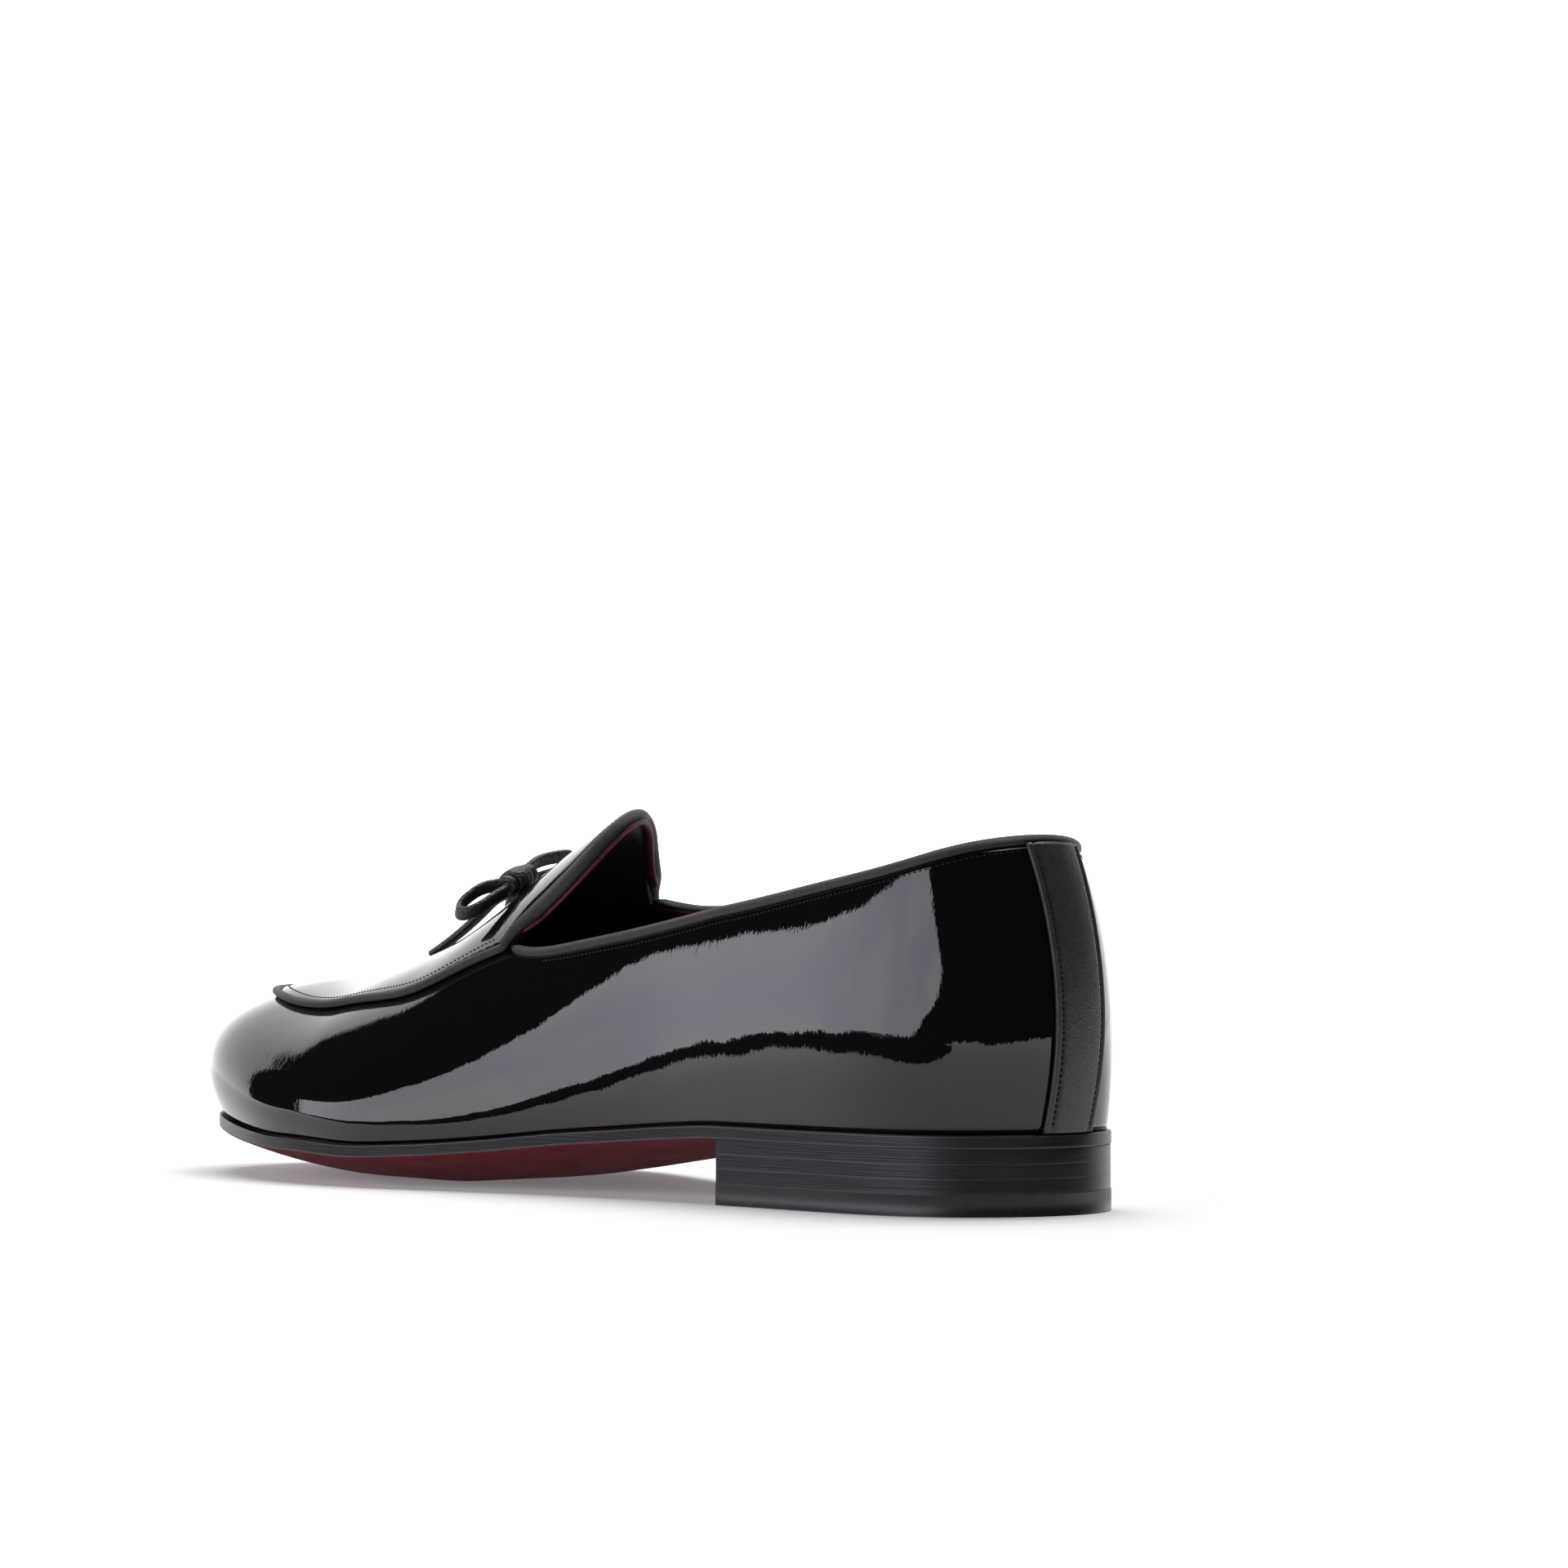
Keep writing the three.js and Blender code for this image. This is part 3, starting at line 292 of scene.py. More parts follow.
HEEL_FOCUS, TOE_FOCUS, FOCUS_BLEND = 0.125, 0.845, 0.03   # shares of LENGTH
(ridge_share, shift_share, crown_width, wall_lateral, wall_medial, flare_lateral,
 flare_medial) = (column_of(SECTIONS, n) for n in range(1, 8))


def ridge_at(x):
    blend = FOCUS_BLEND * LENGTH

    def soft(distance):
        return blend * np.logaddexp(0, distance / blend)
    start = HEEL_FOCUS * LENGTH
    along = (start + soft(x - start) - soft(x - TOE_FOCUS * LENGTH)) / LENGTH
    height = sole_edge_top(along) + GAP + ridge_share(along) * INSTEP_HEIGHT
    return np.stack([along * LENGTH, shift_share(along) * BALL_WIDTH, height], axis=-1)


def columns(turn):
    turn = np.asarray(turn, float)
    foot = outline_at(turn, FEATHER_INSET)
    along = foot[..., 0] / LENGTH
    ridge = ridge_at(foot[..., 0])
    lateral = np.mod(turn, 2) < 1
    wall = np.where(lateral, wall_lateral(along), wall_medial(along))
    flare = np.where(lateral, flare_lateral(along), flare_medial(along))
    mean = 1 - (wall_lateral(along) + wall_medial(along)) / 2
    crown = crown_width(ridge[..., 0] / LENGTH) * BALL_WIDTH * np.sqrt((1 - wall) / mean)
    return foot, sole_edge_top(along) + GAP, ridge, wall, flare, crown


def point_on(column, climb):
    """Point of each column: climb is 0 at the sole and 1 at the ridge."""
    foot, floor, ridge, wall, flare, crown = column
    to_ridge = ridge[..., :2] - foot
    width = np.linalg.norm(to_ridge, axis=-1)
    height = ridge[..., 2] - floor
    a, b, c = 3 * climb * (1 - climb) ** 2, 3 * climb ** 2 * (1 - climb), climb ** 3
    share = (-a * flare * width + b * (width - crown) + c * width) / width
    up = a * wall * height + (b + c) * height
    return np.concatenate([foot + to_ridge * share[..., None], (floor + up)[..., None]], axis=-1)


def pattern_at(turn, climb):
    """The same place on the flat pattern, where each column lies straight."""
    foot, _, ridge, *_ = columns(turn)
    return foot + (ridge[..., :2] - foot) * np.asarray(climb, float)[..., None]


print("height of the last at the tongue, mm:", round(float(ridge_at(np.array(145.0))[2]), 1))

# %% [markdown]
# ## Laying leather on the last
# Patterns are drawn flat and laid on the last, as in the workshop. For each place of the flat
# pattern the column that runs through it is found by halving, and the leather's outward
# direction comes from the places beside it.

# %% From the flat pattern to the last
heel_foot, heel_ridge = outline_at(0.0, FEATHER_INSET), ridge_at(outline_at(0.0, FEATHER_INSET)[0])
toe_foot, toe_ridge = outline_at(1.0, FEATHER_INSET), ridge_at(outline_at(1.0, FEATHER_INSET)[0])


def on_last(pattern):
    pattern = np.asarray(pattern, float)
    x, y = pattern[..., 0], pattern[..., 1]
    line = ridge_at(x)[..., 1]
    for foot, ridge in ((heel_foot, heel_ridge), (toe_foot, toe_ridge)):
        t = (x - foot[0]) / (ridge[0] - foot[0])
        line = np.where((t >= 0) & (t <= 1), foot[1] + (ridge[1] - foot[1]) * t, line)
    lateral = y > line
    low, high = np.zeros_like(x), np.ones_like(x)
    for _ in range(36):
        middle = (low + high) / 2
        turn = np.where(lateral, middle, 2 - middle)
        foot = outline_at(turn, FEATHER_INSET)
        ridge = ridge_at(foot[..., 0])
        side = ((ridge[..., 0] - foot[..., 0]) * (y - ridge[..., 1])
                - (ridge[..., 1] - foot[..., 1]) * (x - ridge[..., 0]))
        forward = np.where(lateral, side, -side) > 0
        low, high = np.where(forward, middle, low), np.where(forward, high, middle)
    column = columns(np.where(lateral, low, 2 - low))
    foot, ridge = column[0], column[2]
    reach = np.hypot(x - ridge[..., 0], y - ridge[..., 1])
    climb = np.clip(1 - reach / np.linalg.norm(ridge[..., :2] - foot, axis=-1), 0, 1)
    return point_on(column, climb), climb


def place(pattern):
    """Points on the last and the outward directions there."""
    pattern = np.asarray(pattern, float)
    step = 0.4
    point, climb = on_last(pattern)
    ahead = on_last(pattern + [step, 0])[0] - on_last(pattern - [step, 0])[0]
    beside = on_last(pattern + [0, step])[0] - on_last(pattern - [0, step])[0]
    outward = np.cross(ahead, beside)
    outward[..., 2] = np.where(climb < 1e-3, 0, outward[..., 2])
    return point, outward / np.linalg.norm(outward, axis=-1, keepdims=True)


probe, probe_out = place([[150.0, 0.0], [200.0, 30.0]])
print("two places on the last:", probe.round(1).tolist(), probe_out.round(2).tolist())

# %% [markdown]
# ## The lines of the upper
# Three lines cut the leather. The topline runs round the foot's opening. The apron seam runs
# round the vamp. The edge of the tongue's tab joins the two throats of the seam.

# %% Topline, apron seam and tongue
COUNTER_HEIGHT = 66.0
BINDING_HEIGHT = 2.3
TONGUE_BINDING_DIAMETER = 3.4
THROAT_LATERAL, THROAT_MEDIAL = 0.56, 0.582
# along, lateral, medial: shares of COUNTER_HEIGHT
TOPLINE = [
    (0.00, 1.015, 1.015), (0.03, 0.985, 0.990), (0.08, 0.927, 0.940), (0.17, 0.848, 0.875),
    (0.27, 0.769, 0.825), (0.36, 0.716, 0.803), (0.46, 0.679, 0.797), (0.52, 0.677, 0.812),
    (0.56, 0.710, 0.845), (0.59, 0.755, 0.885),
]
# along, lateral, medial: shares of BALL_WIDTH
TONGUE = [(0.545, 0.172, -0.136), (0.530, 0.144, -0.104), (0.515, 0.113, -0.062),
          (0.5045, 0.082, -0.022)]
TONGUE_TIP = (0.499, 0.030)
# along, lateral, medial: how far up the columns the seam runs
APRON_SEAM = [
    (0.60, 0.500, 0.640), (0.65, 0.499, 0.590), (0.70, 0.520, 0.562), (0.76, 0.553, 0.565),
    (0.83, 0.568, 0.568), (0.90, 0.582, 0.574),
]
APRON_FRONT = 0.57

throats = np.array([float(turn_at(THROAT_LATERAL)), 2 - float(turn_at(THROAT_MEDIAL))])
topline_lateral, topline_medial = column_of(TOPLINE, 1), column_of(TOPLINE, 2)


def topline_climb(turn):
    column = columns(turn)
    along = np.maximum(column[0][..., 0], 0) / LENGTH
    share = np.where(np.mod(turn, 2) < 1, topline_lateral(along), topline_medial(along))
    target = share * COUNTER_HEIGHT - BINDING_HEIGHT - GAP
    low, high = np.zeros_like(along), np.ones_like(along)
    for _ in range(36):
        middle = (low + high) / 2
        under = point_on(column, middle)[..., 2] - sole_edge_top(along) < target
        low, high = np.where(under, middle, low), np.where(under, high, middle)
    return low


throat_climbs = topline_climb(throats)
seam_rows = ([(throats[0], throat_climbs[0])]
             + [(float(turn_at(a)), lateral) for a, lateral, _ in APRON_SEAM]
             + [(1.0, APRON_FRONT)]
             + [(2 - float(turn_at(a)), medial) for a, _, medial in reversed(APRON_SEAM)]
             + [(throats[1], throat_climbs[1])])
seam_climb = column_of(seam_rows, 1)


def seam_at(turn):
    return pattern_at(turn, seam_climb(turn))


tip = np.array([TONGUE_TIP[0] * LENGTH, TONGUE_TIP[1] * BALL_WIDTH])
tongue_middle = np.array([THROAT_MEDIAL * LENGTH, tip[1]])


def within(along, side):
    point = np.array([along * LENGTH, side * BALL_WIDTH])
    inwards = tongue_middle - point
    return point + inwards / np.linalg.norm(inwards) * (TONGUE_BINDING_DIAMETER + GAP)


tongue_points = np.array([seam_at(throats[0])]
                         + [within(a, lateral) for a, lateral, _ in TONGUE]
                         + [within(*TONGUE_TIP)]
                         + [within(a, medial) for a, _, medial in reversed(TONGUE)]
                         + [seam_at(throats[1])])
travel = np.concatenate([[0], np.cumsum(np.linalg.norm(np.diff(tongue_points, axis=0), axis=1))])
tongue_x, tongue_y = (smooth_curve(travel, tongue_points[:, k]) for k in (0, 1))


def tongue_wall(share):
    reach = np.asarray(share, float) * travel[-1]
    return np.stack([tongue_x(reach), tongue_y(reach)], axis=-1)


def edge_climb(turn):
    """Upper end of the wall: the apron seam in front of the throats, the topline behind."""
    seam = (turn > throats[0]) & (turn < throats[1])
    inside = np.clip(turn, throats[0], throats[1])
    return np.where(seam, seam_climb(inside), topline_climb(turn))


print("length round the tongue's edge, mm:", round(float(travel[-1]), 1))

# %% [markdown]
# ## Meshes from flat grids
# A sheet of leather is a flat grid whose points are laid on the last. A roll is a flat grid
# too, bent round a line. The grid comes from bmesh, its places come from the last, and its
# seams are welded where it closes on itself.

# %% Grids, welded seams and finished pieces
MM = 0.001
made = {}


def grid_mesh(across, along, shape):
    """A grid of faces laid out by shape(u, v); u and v run from 0 to 1."""
    mesh = bmesh.new()
    bmesh.ops.create_grid(mesh, x_segments=across, y_segments=along, size=0.5)
    shares = np.array([v.co[:2] for v in mesh.verts]) + 0.5
    shares = np.round(shares * [across, along]) / [across, along]
    uv = mesh.loops.layers.uv.new("flat")
    for vert, share in zip(mesh.verts, shares):
        for loop in vert.link_loops:
            loop[uv].uv = share
    for vert, point in zip(mesh.verts, shape(shares[:, 0], shares[:, 1])):
        vert.co = point
    return mesh


def weld(mesh, distance=1e-6):
    bmesh.ops.remove_doubles(mesh, verts=mesh.verts, dist=distance)
    bmesh.ops.dissolve_degenerate(mesh, dist=1e-7, edges=mesh.edges)
    return mesh


def turn_outwards(mesh):
    bmesh.ops.recalc_face_normals(mesh, faces=mesh.faces)
    return mesh


def finished(mesh, name, materials, replaced=()):
    """Make the object, let it ride on the shoe and hide the solids it stands for."""
    data = bpy.data.meshes.new(name)
    mesh.to_mesh(data)
    mesh.free()
    data.polygons.foreach_set("use_smooth", np.ones(len(data.polygons), bool))
    for material in materials:
        data.materials.append(material)
    piece = bpy.data.objects.new(name, data)
    bpy.context.collection.objects.link(piece)
    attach(piece, "root")
    if replaced:
        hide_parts(*replaced)
    made[name] = piece
    return piece


def report(*names):
    for name in names:
        data = made[name].data
        print(f"{name}: {len(data.vertices)} points, {len(data.polygons)} faces")


print("helpers are ready")

# %% [markdown]
# ## The materials
# Patent leather is calf with a thick clear coat. It mirrors the studio and shows little of its
# own colour. The bindings and the lace are matt calf with a fine grain. The sole's edge is
# inked and burnished, and its bottom is stained red.

# %% Materials


class Finish:
    """A principled material and the few nodes that vary it."""

    def __init__(self, name, colour, roughness, coat=0.0, specular=0.5):
        self.material = bpy.data.materials.new(name)
        self.material.use_nodes = True
        self.nodes = self.material.node_tree.nodes
        self.links = self.material.node_tree.links
        self.shader = next(n for n in self.nodes if n.type == "BSDF_PRINCIPLED")
        self.shader.inputs["Base Color"].default_value = (*colour, 1)
        self.shader.inputs["Roughness"].default_value = roughness
        self.shader.inputs["Coat Weight"].default_value = coat
        self.shader.inputs["Coat Roughness"].default_value = 0.02
        self.shader.inputs["Specular IOR Level"].default_value = specular
        place_node = self.nodes.new("ShaderNodeTexCoord")
        self.place = place_node.outputs["Object"]
        self.flat = place_node.outputs["UV"]
        self.height = None

    def stretched(self, scale, source=None):
        mapping = self.nodes.new("ShaderNodeMapping")
        mapping.inputs["Scale"].default_value = scale
        self.links.new(source or self.place, mapping.inputs["Vector"])
        return mapping.outputs["Vector"]

    def noise(self, scale, detail=3.0, vector=None):
        node = self.nodes.new("ShaderNodeTexNoise")
        node.inputs["Scale"].default_value = scale
        node.inputs["Detail"].default_value = detail
        self.links.new(vector or self.place, node.inputs["Vector"])
        return node.outputs["Factor"] if "Factor" in node.outputs else node.outputs["Fac"]

    def cells(self, scale, vector=None):
        node = self.nodes.new("ShaderNodeTexVoronoi")
        node.inputs["Scale"].default_value = scale
        self.links.new(vector or self.place, node.inputs["Vector"])
        return node.outputs["Distance"]

    def waves(self, scale, distortion, vector):
        node = self.nodes.new("ShaderNodeTexWave")
        node.bands_direction = "X"
        node.inputs["Scale"].default_value = scale
        node.inputs["Distortion"].default_value = distortion
        self.links.new(vector, node.inputs["Vector"])
        return node.outputs["Factor"] if "Factor" in node.outputs else node.outputs["Fac"]

    def bump(self, height, distance, strength=1.0):
        node = self.nodes.new("ShaderNodeBump")
        node.inputs["Distance"].default_value = distance
        node.inputs["Strength"].default_value = strength
        self.links.new(height, node.inputs["Height"])
        if self.height is not None:
            self.links.new(self.height, node.inputs["Normal"])
        self.height = node.outputs["Normal"]
        self.links.new(self.height, self.shader.inputs["Normal"])
        if self.shader.inputs["Coat Weight"].default_value > 0:
            self.links.new(self.height, self.shader.inputs["Coat Normal"])
        return self

    def ramp(self, value, stops, socket="Base Color"):
        node = self.nodes.new("ShaderNodeValToRGB")
        elements = node.color_ramp.elements
        while len(elements) < len(stops):
            elements.new(0.5)
        for element, (position, colour) in zip(elements, stops):
            element.position = position
            element.color = (*colour, 1)
        self.links.new(value, node.inputs["Fac"])
        self.links.new(node.outputs["Color"], self.shader.inputs[socket])
        return self


patent = Finish("black patent leather", (0.0035, 0.0035, 0.004), 0.35, coat=1.0, specular=0.0)
patent.bump(patent.noise(45, 2.0), 0.00028, 0.6)
patent.bump(patent.noise(1300, 2.0, patent.stretched((1, 1, 0.2))), 0.00002, 0.8)

# Painted shade: the lining's inner face is coloured near-black for the shade inside the shoe; the
# noise adds a random grain tone on top.
lining = Finish("lining painted near-black for shade inside the shoe", (0.012, 0.010, 0.011), 0.6)
lining.ramp(lining.noise(700, 4), [(0.3, (0.008, 0.007, 0.008)), (0.7, (0.018, 0.014, 0.016))])
lining.bump(lining.cells(1500), 0.00005, 0.5)

burgundy = Finish("burgundy lining edge", (0.14, 0.016, 0.030), 0.6)
burgundy.ramp(burgundy.noise(900, 5), [(0.3, (0.10, 0.011, 0.022)), (0.7, (0.20, 0.028, 0.050))])
burgundy.bump(burgundy.noise(1800, 4), 0.00008, 0.7)

ribbed = Finish("gathered calf binding", (0.020, 0.019, 0.020), 0.52)
ribbed.ramp(ribbed.noise(900, 5), [(0.3, (0.020, 0.0195, 0.020)), (0.7, (0.036, 0.035, 0.036))])
ribbed.bump(ribbed.waves(62, 2.5, ribbed.stretched((1, 0.04, 1), ribbed.flat)), 0.00010, 0.5)
ribbed.bump(ribbed.cells(1200), 0.00006, 0.5)

pebbled = Finish("pebbled calf back stay", (0.024, 0.023, 0.024), 0.40)
pebbled.ramp(pebbled.noise(600, 5), [(0.3, (0.018, 0.018, 0.019)), (0.7, (0.032, 0.031, 0.032))])
pebbled.bump(pebbled.cells(1500), 0.00007, 0.7)
pebbled.bump(pebbled.noise(2400, 3), 0.00003, 0.5)

lace_leather = Finish("matt calf lace", (0.026, 0.023, 0.022), 0.48)
lace_leather.ramp(lace_leather.noise(1300, 5),
                  [(0.3, (0.015, 0.013, 0.012)), (0.7, (0.034, 0.031, 0.030))])
lace_leather.bump(lace_leather.cells(1500), 0.00022, 0.9)
lace_leather.bump(lace_leather.noise(3200, 3), 0.00004, 0.7)

thread = Finish("waxed black thread", (0.004, 0.004, 0.005), 0.5, specular=0.25)
thread.ramp(thread.noise(3000, 2), [(0.3, (0.002, 0.002, 0.003)), (0.7, (0.007, 0.007, 0.008))])
thread.bump(thread.noise(5000, 2), 0.00002, 0.5)

edge_ink = Finish("inked sole edge", (0.016, 0.016, 0.018), 0.42)
scratches = edge_ink.noise(260, 6, edge_ink.stretched((0.12, 0.12, 9)))
edge_ink.ramp(scratches, [(0.35, (0.016, 0.016, 0.018)), (0.72, (0.029, 0.029, 0.032))])
edge_ink.bump(edge_ink.noise(300, 4, edge_ink.stretched((0.1, 0.1, 11))), 0.00012, 0.8)

rubber = Finish("black rubber", (0.016, 0.016, 0.017), 0.42)
rubber.ramp(rubber.noise(1500, 4), [(0.3, (0.011, 0.011, 0.012)), (0.7, (0.022, 0.022, 0.024))])
rubber.bump(rubber.noise(1800, 4), 0.00004, 0.5)

bottom = Finish("red stained sole", (0.12, 0.014, 0.018), 0.6, specular=0.05)
bottom.ramp(bottom.noise(120, 6), [(0.3, (0.085, 0.010, 0.013)), (0.7, (0.15, 0.018, 0.023))])
bottom.bump(bottom.noise(1400, 4), 0.00004, 0.4)

sock = Finish("burgundy sock leather", (0.050, 0.009, 0.012), 0.5)
sock.ramp(sock.noise(500, 5), [(0.3, (0.038, 0.007, 0.009)), (0.7, (0.064, 0.013, 0.016))])
sock.bump(sock.cells(1400), 0.00005, 0.5)

print("materials:", len(bpy.data.materials))

# %% [markdown]
# ## The bow
# The bow is one leather lace, knotted on the apron. Two loops stand up beside the knot and two
# ends run forward over the plug. Each strand is a flat lace, and its length is printed. They
# come first, because a strand has to be as long as it says.

# %% Strands of the bow
OVERLAY_THICKNESS = 1.2
LACE_WIDTH, LACE_THICKNESS = 3.4, 1.5
KNOT_WIDTH, KNOT_LENGTH, KNOT_HEIGHT, KNOT_SIDE = 9.4, 7.8, 6.4, -1.2
BOW_SEAT = (0.624, 0.04)
# ahead to the toe, side to the lateral side, rise off the leather, from the bow's seat
BOW = {
    "bow_loop_lateral": [
        (0.6, 0.6, 3.6), (1.5, 3.9, 5.0), (3.0, 6.6, 6.2), (4.7, 10.6, 6.3), (5.7, 13.9, 5.6),
        (5.0, 15.8, 4.2), (3.0, 15.4, 2.9), (0.9, 12.0, 2.3), (-0.2, 8.0, 2.4), (-0.6, 3.9, 2.2)],
    "bow_loop_medial": [
        (-0.5, -4.0, 3.9), (-0.5, -6.3, 4.2), (-0.6, -9.2, 4.5), (-0.9, -13.0, 4.0),
        (-1.3, -17.0, 2.8), (-0.8, -20.2, 1.4), (1.0, -20.4, 0.4), (2.2, -17.2, 0.4),
        (2.3, -13.2, 0.9), (1.9, -9.2, 1.4), (1.6, -6.3, 1.6)],
    "bow_tail_lateral": [
        (1.5, 1.2, 2.6), (4.3, 1.2, 2.3), (8.0, 1.0, 2.8), (13.0, 0.4, 2.9), (20.6, -0.8, 3.0),
        (30.0, -2.1, 3.5), (39.6, -4.2, 4.5)],
    "bow_tail_medial": [
        (1.5, -2.6, 2.4), (4.3, -3.2, 2.0), (8.0, -5.4, 1.6), (14.0, -9.4, 0.9),
        (22.0, -14.4, 0.4), (31.0, -19.0, 0.3)],
}
seat_pattern = np.array([BOW_SEAT[0] * LENGTH, BOW_SEAT[1] * BALL_WIDTH])
seat_point, seat_out = place(seat_pattern)
seat_ahead = place(seat_pattern + [0.5, 0])[0] - place(seat_pattern - [0.5, 0])[0]
seat_ahead -= seat_out * (seat_ahead @ seat_out)
seat_ahead /= np.linalg.norm(seat_ahead)
seat_axes = np.array([seat_ahead, np.cross(seat_out, seat_ahead), seat_out])
seat_origin = seat_point + seat_out * (OVERLAY_THICKNESS + 2 * GAP)


def on_seat(points):
    return seat_origin + np.asarray(points) @ seat_axes


def unit(vectors):
    return vectors / np.linalg.norm(vectors, axis=-1, keepdims=True)


def even_line(points, count):
    """A smooth line through the points, with its stations an equal way apart."""
    points = np.array(points, float)
    ways = np.concatenate([[0], np.cumsum(np.sqrt(np.linalg.norm(np.diff(points, axis=0),
                                                                 axis=1)))])
    curves = [smooth_curve(ways, points[:, k]) for k in range(3)]
    fine = np.stack([c(np.linspace(0, ways[-1], 600)) for c in curves], axis=-1)
    gone = np.concatenate([[0], np.cumsum(np.linalg.norm(np.diff(fine, axis=0), axis=1))])
    stops = np.linspace(0, gone[-1], count)
    return np.stack([np.interp(stops, gone, fine[:, k]) for k in range(3)], axis=-1), gone[-1]


def lace_strand(name, points, face):
    stations, length = even_line(points, 90)
    ahead = unit(np.gradient(stations, axis=0))
    across = unit(face - (ahead @ face)[:, None] * ahead)
    rise = np.cross(ahead, across)

    def shape(u, v):
        at = np.round(v * 89).astype(int)
        angle = 2 * math.pi * u
        taper = np.minimum(1, np.sqrt(np.clip(np.minimum(v, 1 - v) * length / 0.5, 0, 1)))
        wide = np.sign(np.cos(angle)) * np.abs(np.cos(angle)) ** 0.45 * LACE_WIDTH / 2 * taper
        high = np.sign(np.sin(angle)) * np.abs(np.sin(angle)) ** 0.6 * LACE_THICKNESS / 2 * taper
        points = stations[at] + across[at] * wide[:, None] + rise[at] * high[:, None]
        return in_model(on_seat(points))
    mesh = turn_outwards(weld(grid_mesh(24, 89, shape)))
    strand = finished(mesh, name.replace("bow", "lace"), [lace_leather.material], [name])
    print(name, "length, mm:", round(float(length), 1))


for strand_name, strand_points in BOW.items():
    lace_strand(strand_name, strand_points,
                np.array([1, 0, -0.6] if "loop" in strand_name else [0, 1, 0.3]))

# %% [markdown]
# ## The knot
# A broad piece of the lace is wound round the crossing, and a narrow turn shows at each end
# of it. Each winding is a short flat band with round edges. A soft core fills the knot.

# %% Windings of the knot


def winding(number, middle, half_width, size):
    def shape(u, v):
        angle, around = 2 * math.pi * u, 2 * math.pi * v
        out = np.abs(np.cos(angle)) ** 0.7 * np.sign(np.cos(angle)) * 0.75
        off = np.abs(np.sin(angle)) ** 0.6 * np.sign(np.sin(angle)) * half_width
        ahead = np.cos(around) * (size * KNOT_LENGTH / 2 - 0.75 + out)
        rise = np.sin(around) * (size * KNOT_HEIGHT / 2 - 0.75 + out) + KNOT_HEIGHT / 2
        side = KNOT_SIDE + middle + off + 0.5 * np.sin(around + 0.6)
        return in_model(on_seat(np.stack([ahead, side, rise], axis=-1)))
    mesh = turn_outwards(weld(grid_mesh(16, 72, shape)))
    return finished(mesh, f"knot_winding_{number}", [lace_leather.material],
                    ["bow_knot"] if number == 1 else ())


def core(u, v):
    share, around = v - 0.5, 2 * math.pi * u
    swell = np.sqrt(np.clip(1 - (2 * share) ** 2, 0, 1)) * 0.80
    points = np.stack([np.cos(around) * swell * KNOT_LENGTH / 2,
                       KNOT_SIDE + share * (KNOT_WIDTH + 0.6),
                       KNOT_HEIGHT / 2 + np.sin(around) * swell * KNOT_HEIGHT / 2], axis=-1)
    return in_model(on_seat(points))


for number, (middle, half_width, size) in enumerate(
        [(-3.5, 1.3, 0.84), (0.2, 2.5, 1.02), (3.7, 1.1, 0.80)], start=1):
    winding(number, middle, half_width, size)
finished(turn_outwards(weld(grid_mesh(28, 20, core))), "knot_core", [lace_leather.material],
         ())
report("knot_winding_1", "knot_core")

# %% [markdown]
# ## The upper
# The quarters and the vamp are one band of patent leather, pulled down over the last and
# turned in at the sole. The part under the apron is laid in as a second grid, welded to the
# first along the seam. The lining gives the wall its thickness, and its inner face is painted
# near-black as the shade inside the shoe.

# %% Quarters, vamp and lining
WALL = 1.8
VAMP_COLUMNS, QUARTER_COLUMNS, BAND_ROWS, APRON_ROWS = 170, 150, 44, 28
vamp_turns = np.linspace(*throats, VAMP_COLUMNS + 1)
quarter_turns = np.mod(np.linspace(throats[1], throats[0] + 2, QUARTER_COLUMNS + 1), 2)
band_turns = np.concatenate([vamp_turns, quarter_turns[1:]])
band_climbs = np.concatenate([seam_climb(vamp_turns), topline_climb(quarter_turns[1:])])


def band(u, v):
    at = np.round(u * (len(band_turns) - 1)).astype(int)
    column = columns(band_turns[at])
    return in_model(point_on(column, v * band_climbs[at]))


def apron_pattern(u, v):
    turn = throats[0] + u * (throats[1] - throats[0])
    return seam_at(turn) * (1 - v[:, None]) + tongue_wall(u) * v[:, None]


def apron(u, v):
    return in_model(on_last(apron_pattern(u, v))[0])


upper_mesh = grid_mesh(len(band_turns) - 1, BAND_ROWS, band)
apron_mesh = grid_mesh(VAMP_COLUMNS, APRON_ROWS, apron)
holder = bpy.data.meshes.new("apron leather")
apron_mesh.to_mesh(holder)
apron_mesh.free()
upper_mesh.from_mesh(holder)
bpy.data.meshes.remove(holder)
weld(upper_mesh, 2e-5)
turn_outwards(upper_mesh)
middle_face = max(upper_mesh.faces, key=lambda f: f.calc_center_median().x)
if middle_face.normal.x < 0:
    bmesh.ops.reverse_faces(upper_mesh, faces=upper_mesh.faces)
upper = finished(upper_mesh, "quarters_and_vamp", [patent.material, lining.material],
                 ["upper"])
# The inner face and the rim take the lining, painted near-black as shade inside the shoe.
wall = upper.modifiers.new("lining", "SOLIDIFY")
wall.thickness = WALL * MM
wall.offset = -1
wall.material_offset = 1
wall.material_offset_rim = 1
report("quarters_and_vamp")

# %% [markdown]
# ## The apron plug
# The plug is a second layer of patent leather inside the seam. It lies on the vamp and its
# edge goes down under the piping and under the tongue's binding, where it is sewn.

# %% Plug with its pressed edge
EDGE_PRESS = 2.2               # width of the pressed edge
plug_lift = GAP + OVERLAY_THICKNESS
plug_rim = np.concatenate([place(seam_at(vamp_turns))[0],
                           place(tongue_wall(np.linspace(0, 1, VAMP_COLUMNS + 1)))[0]])


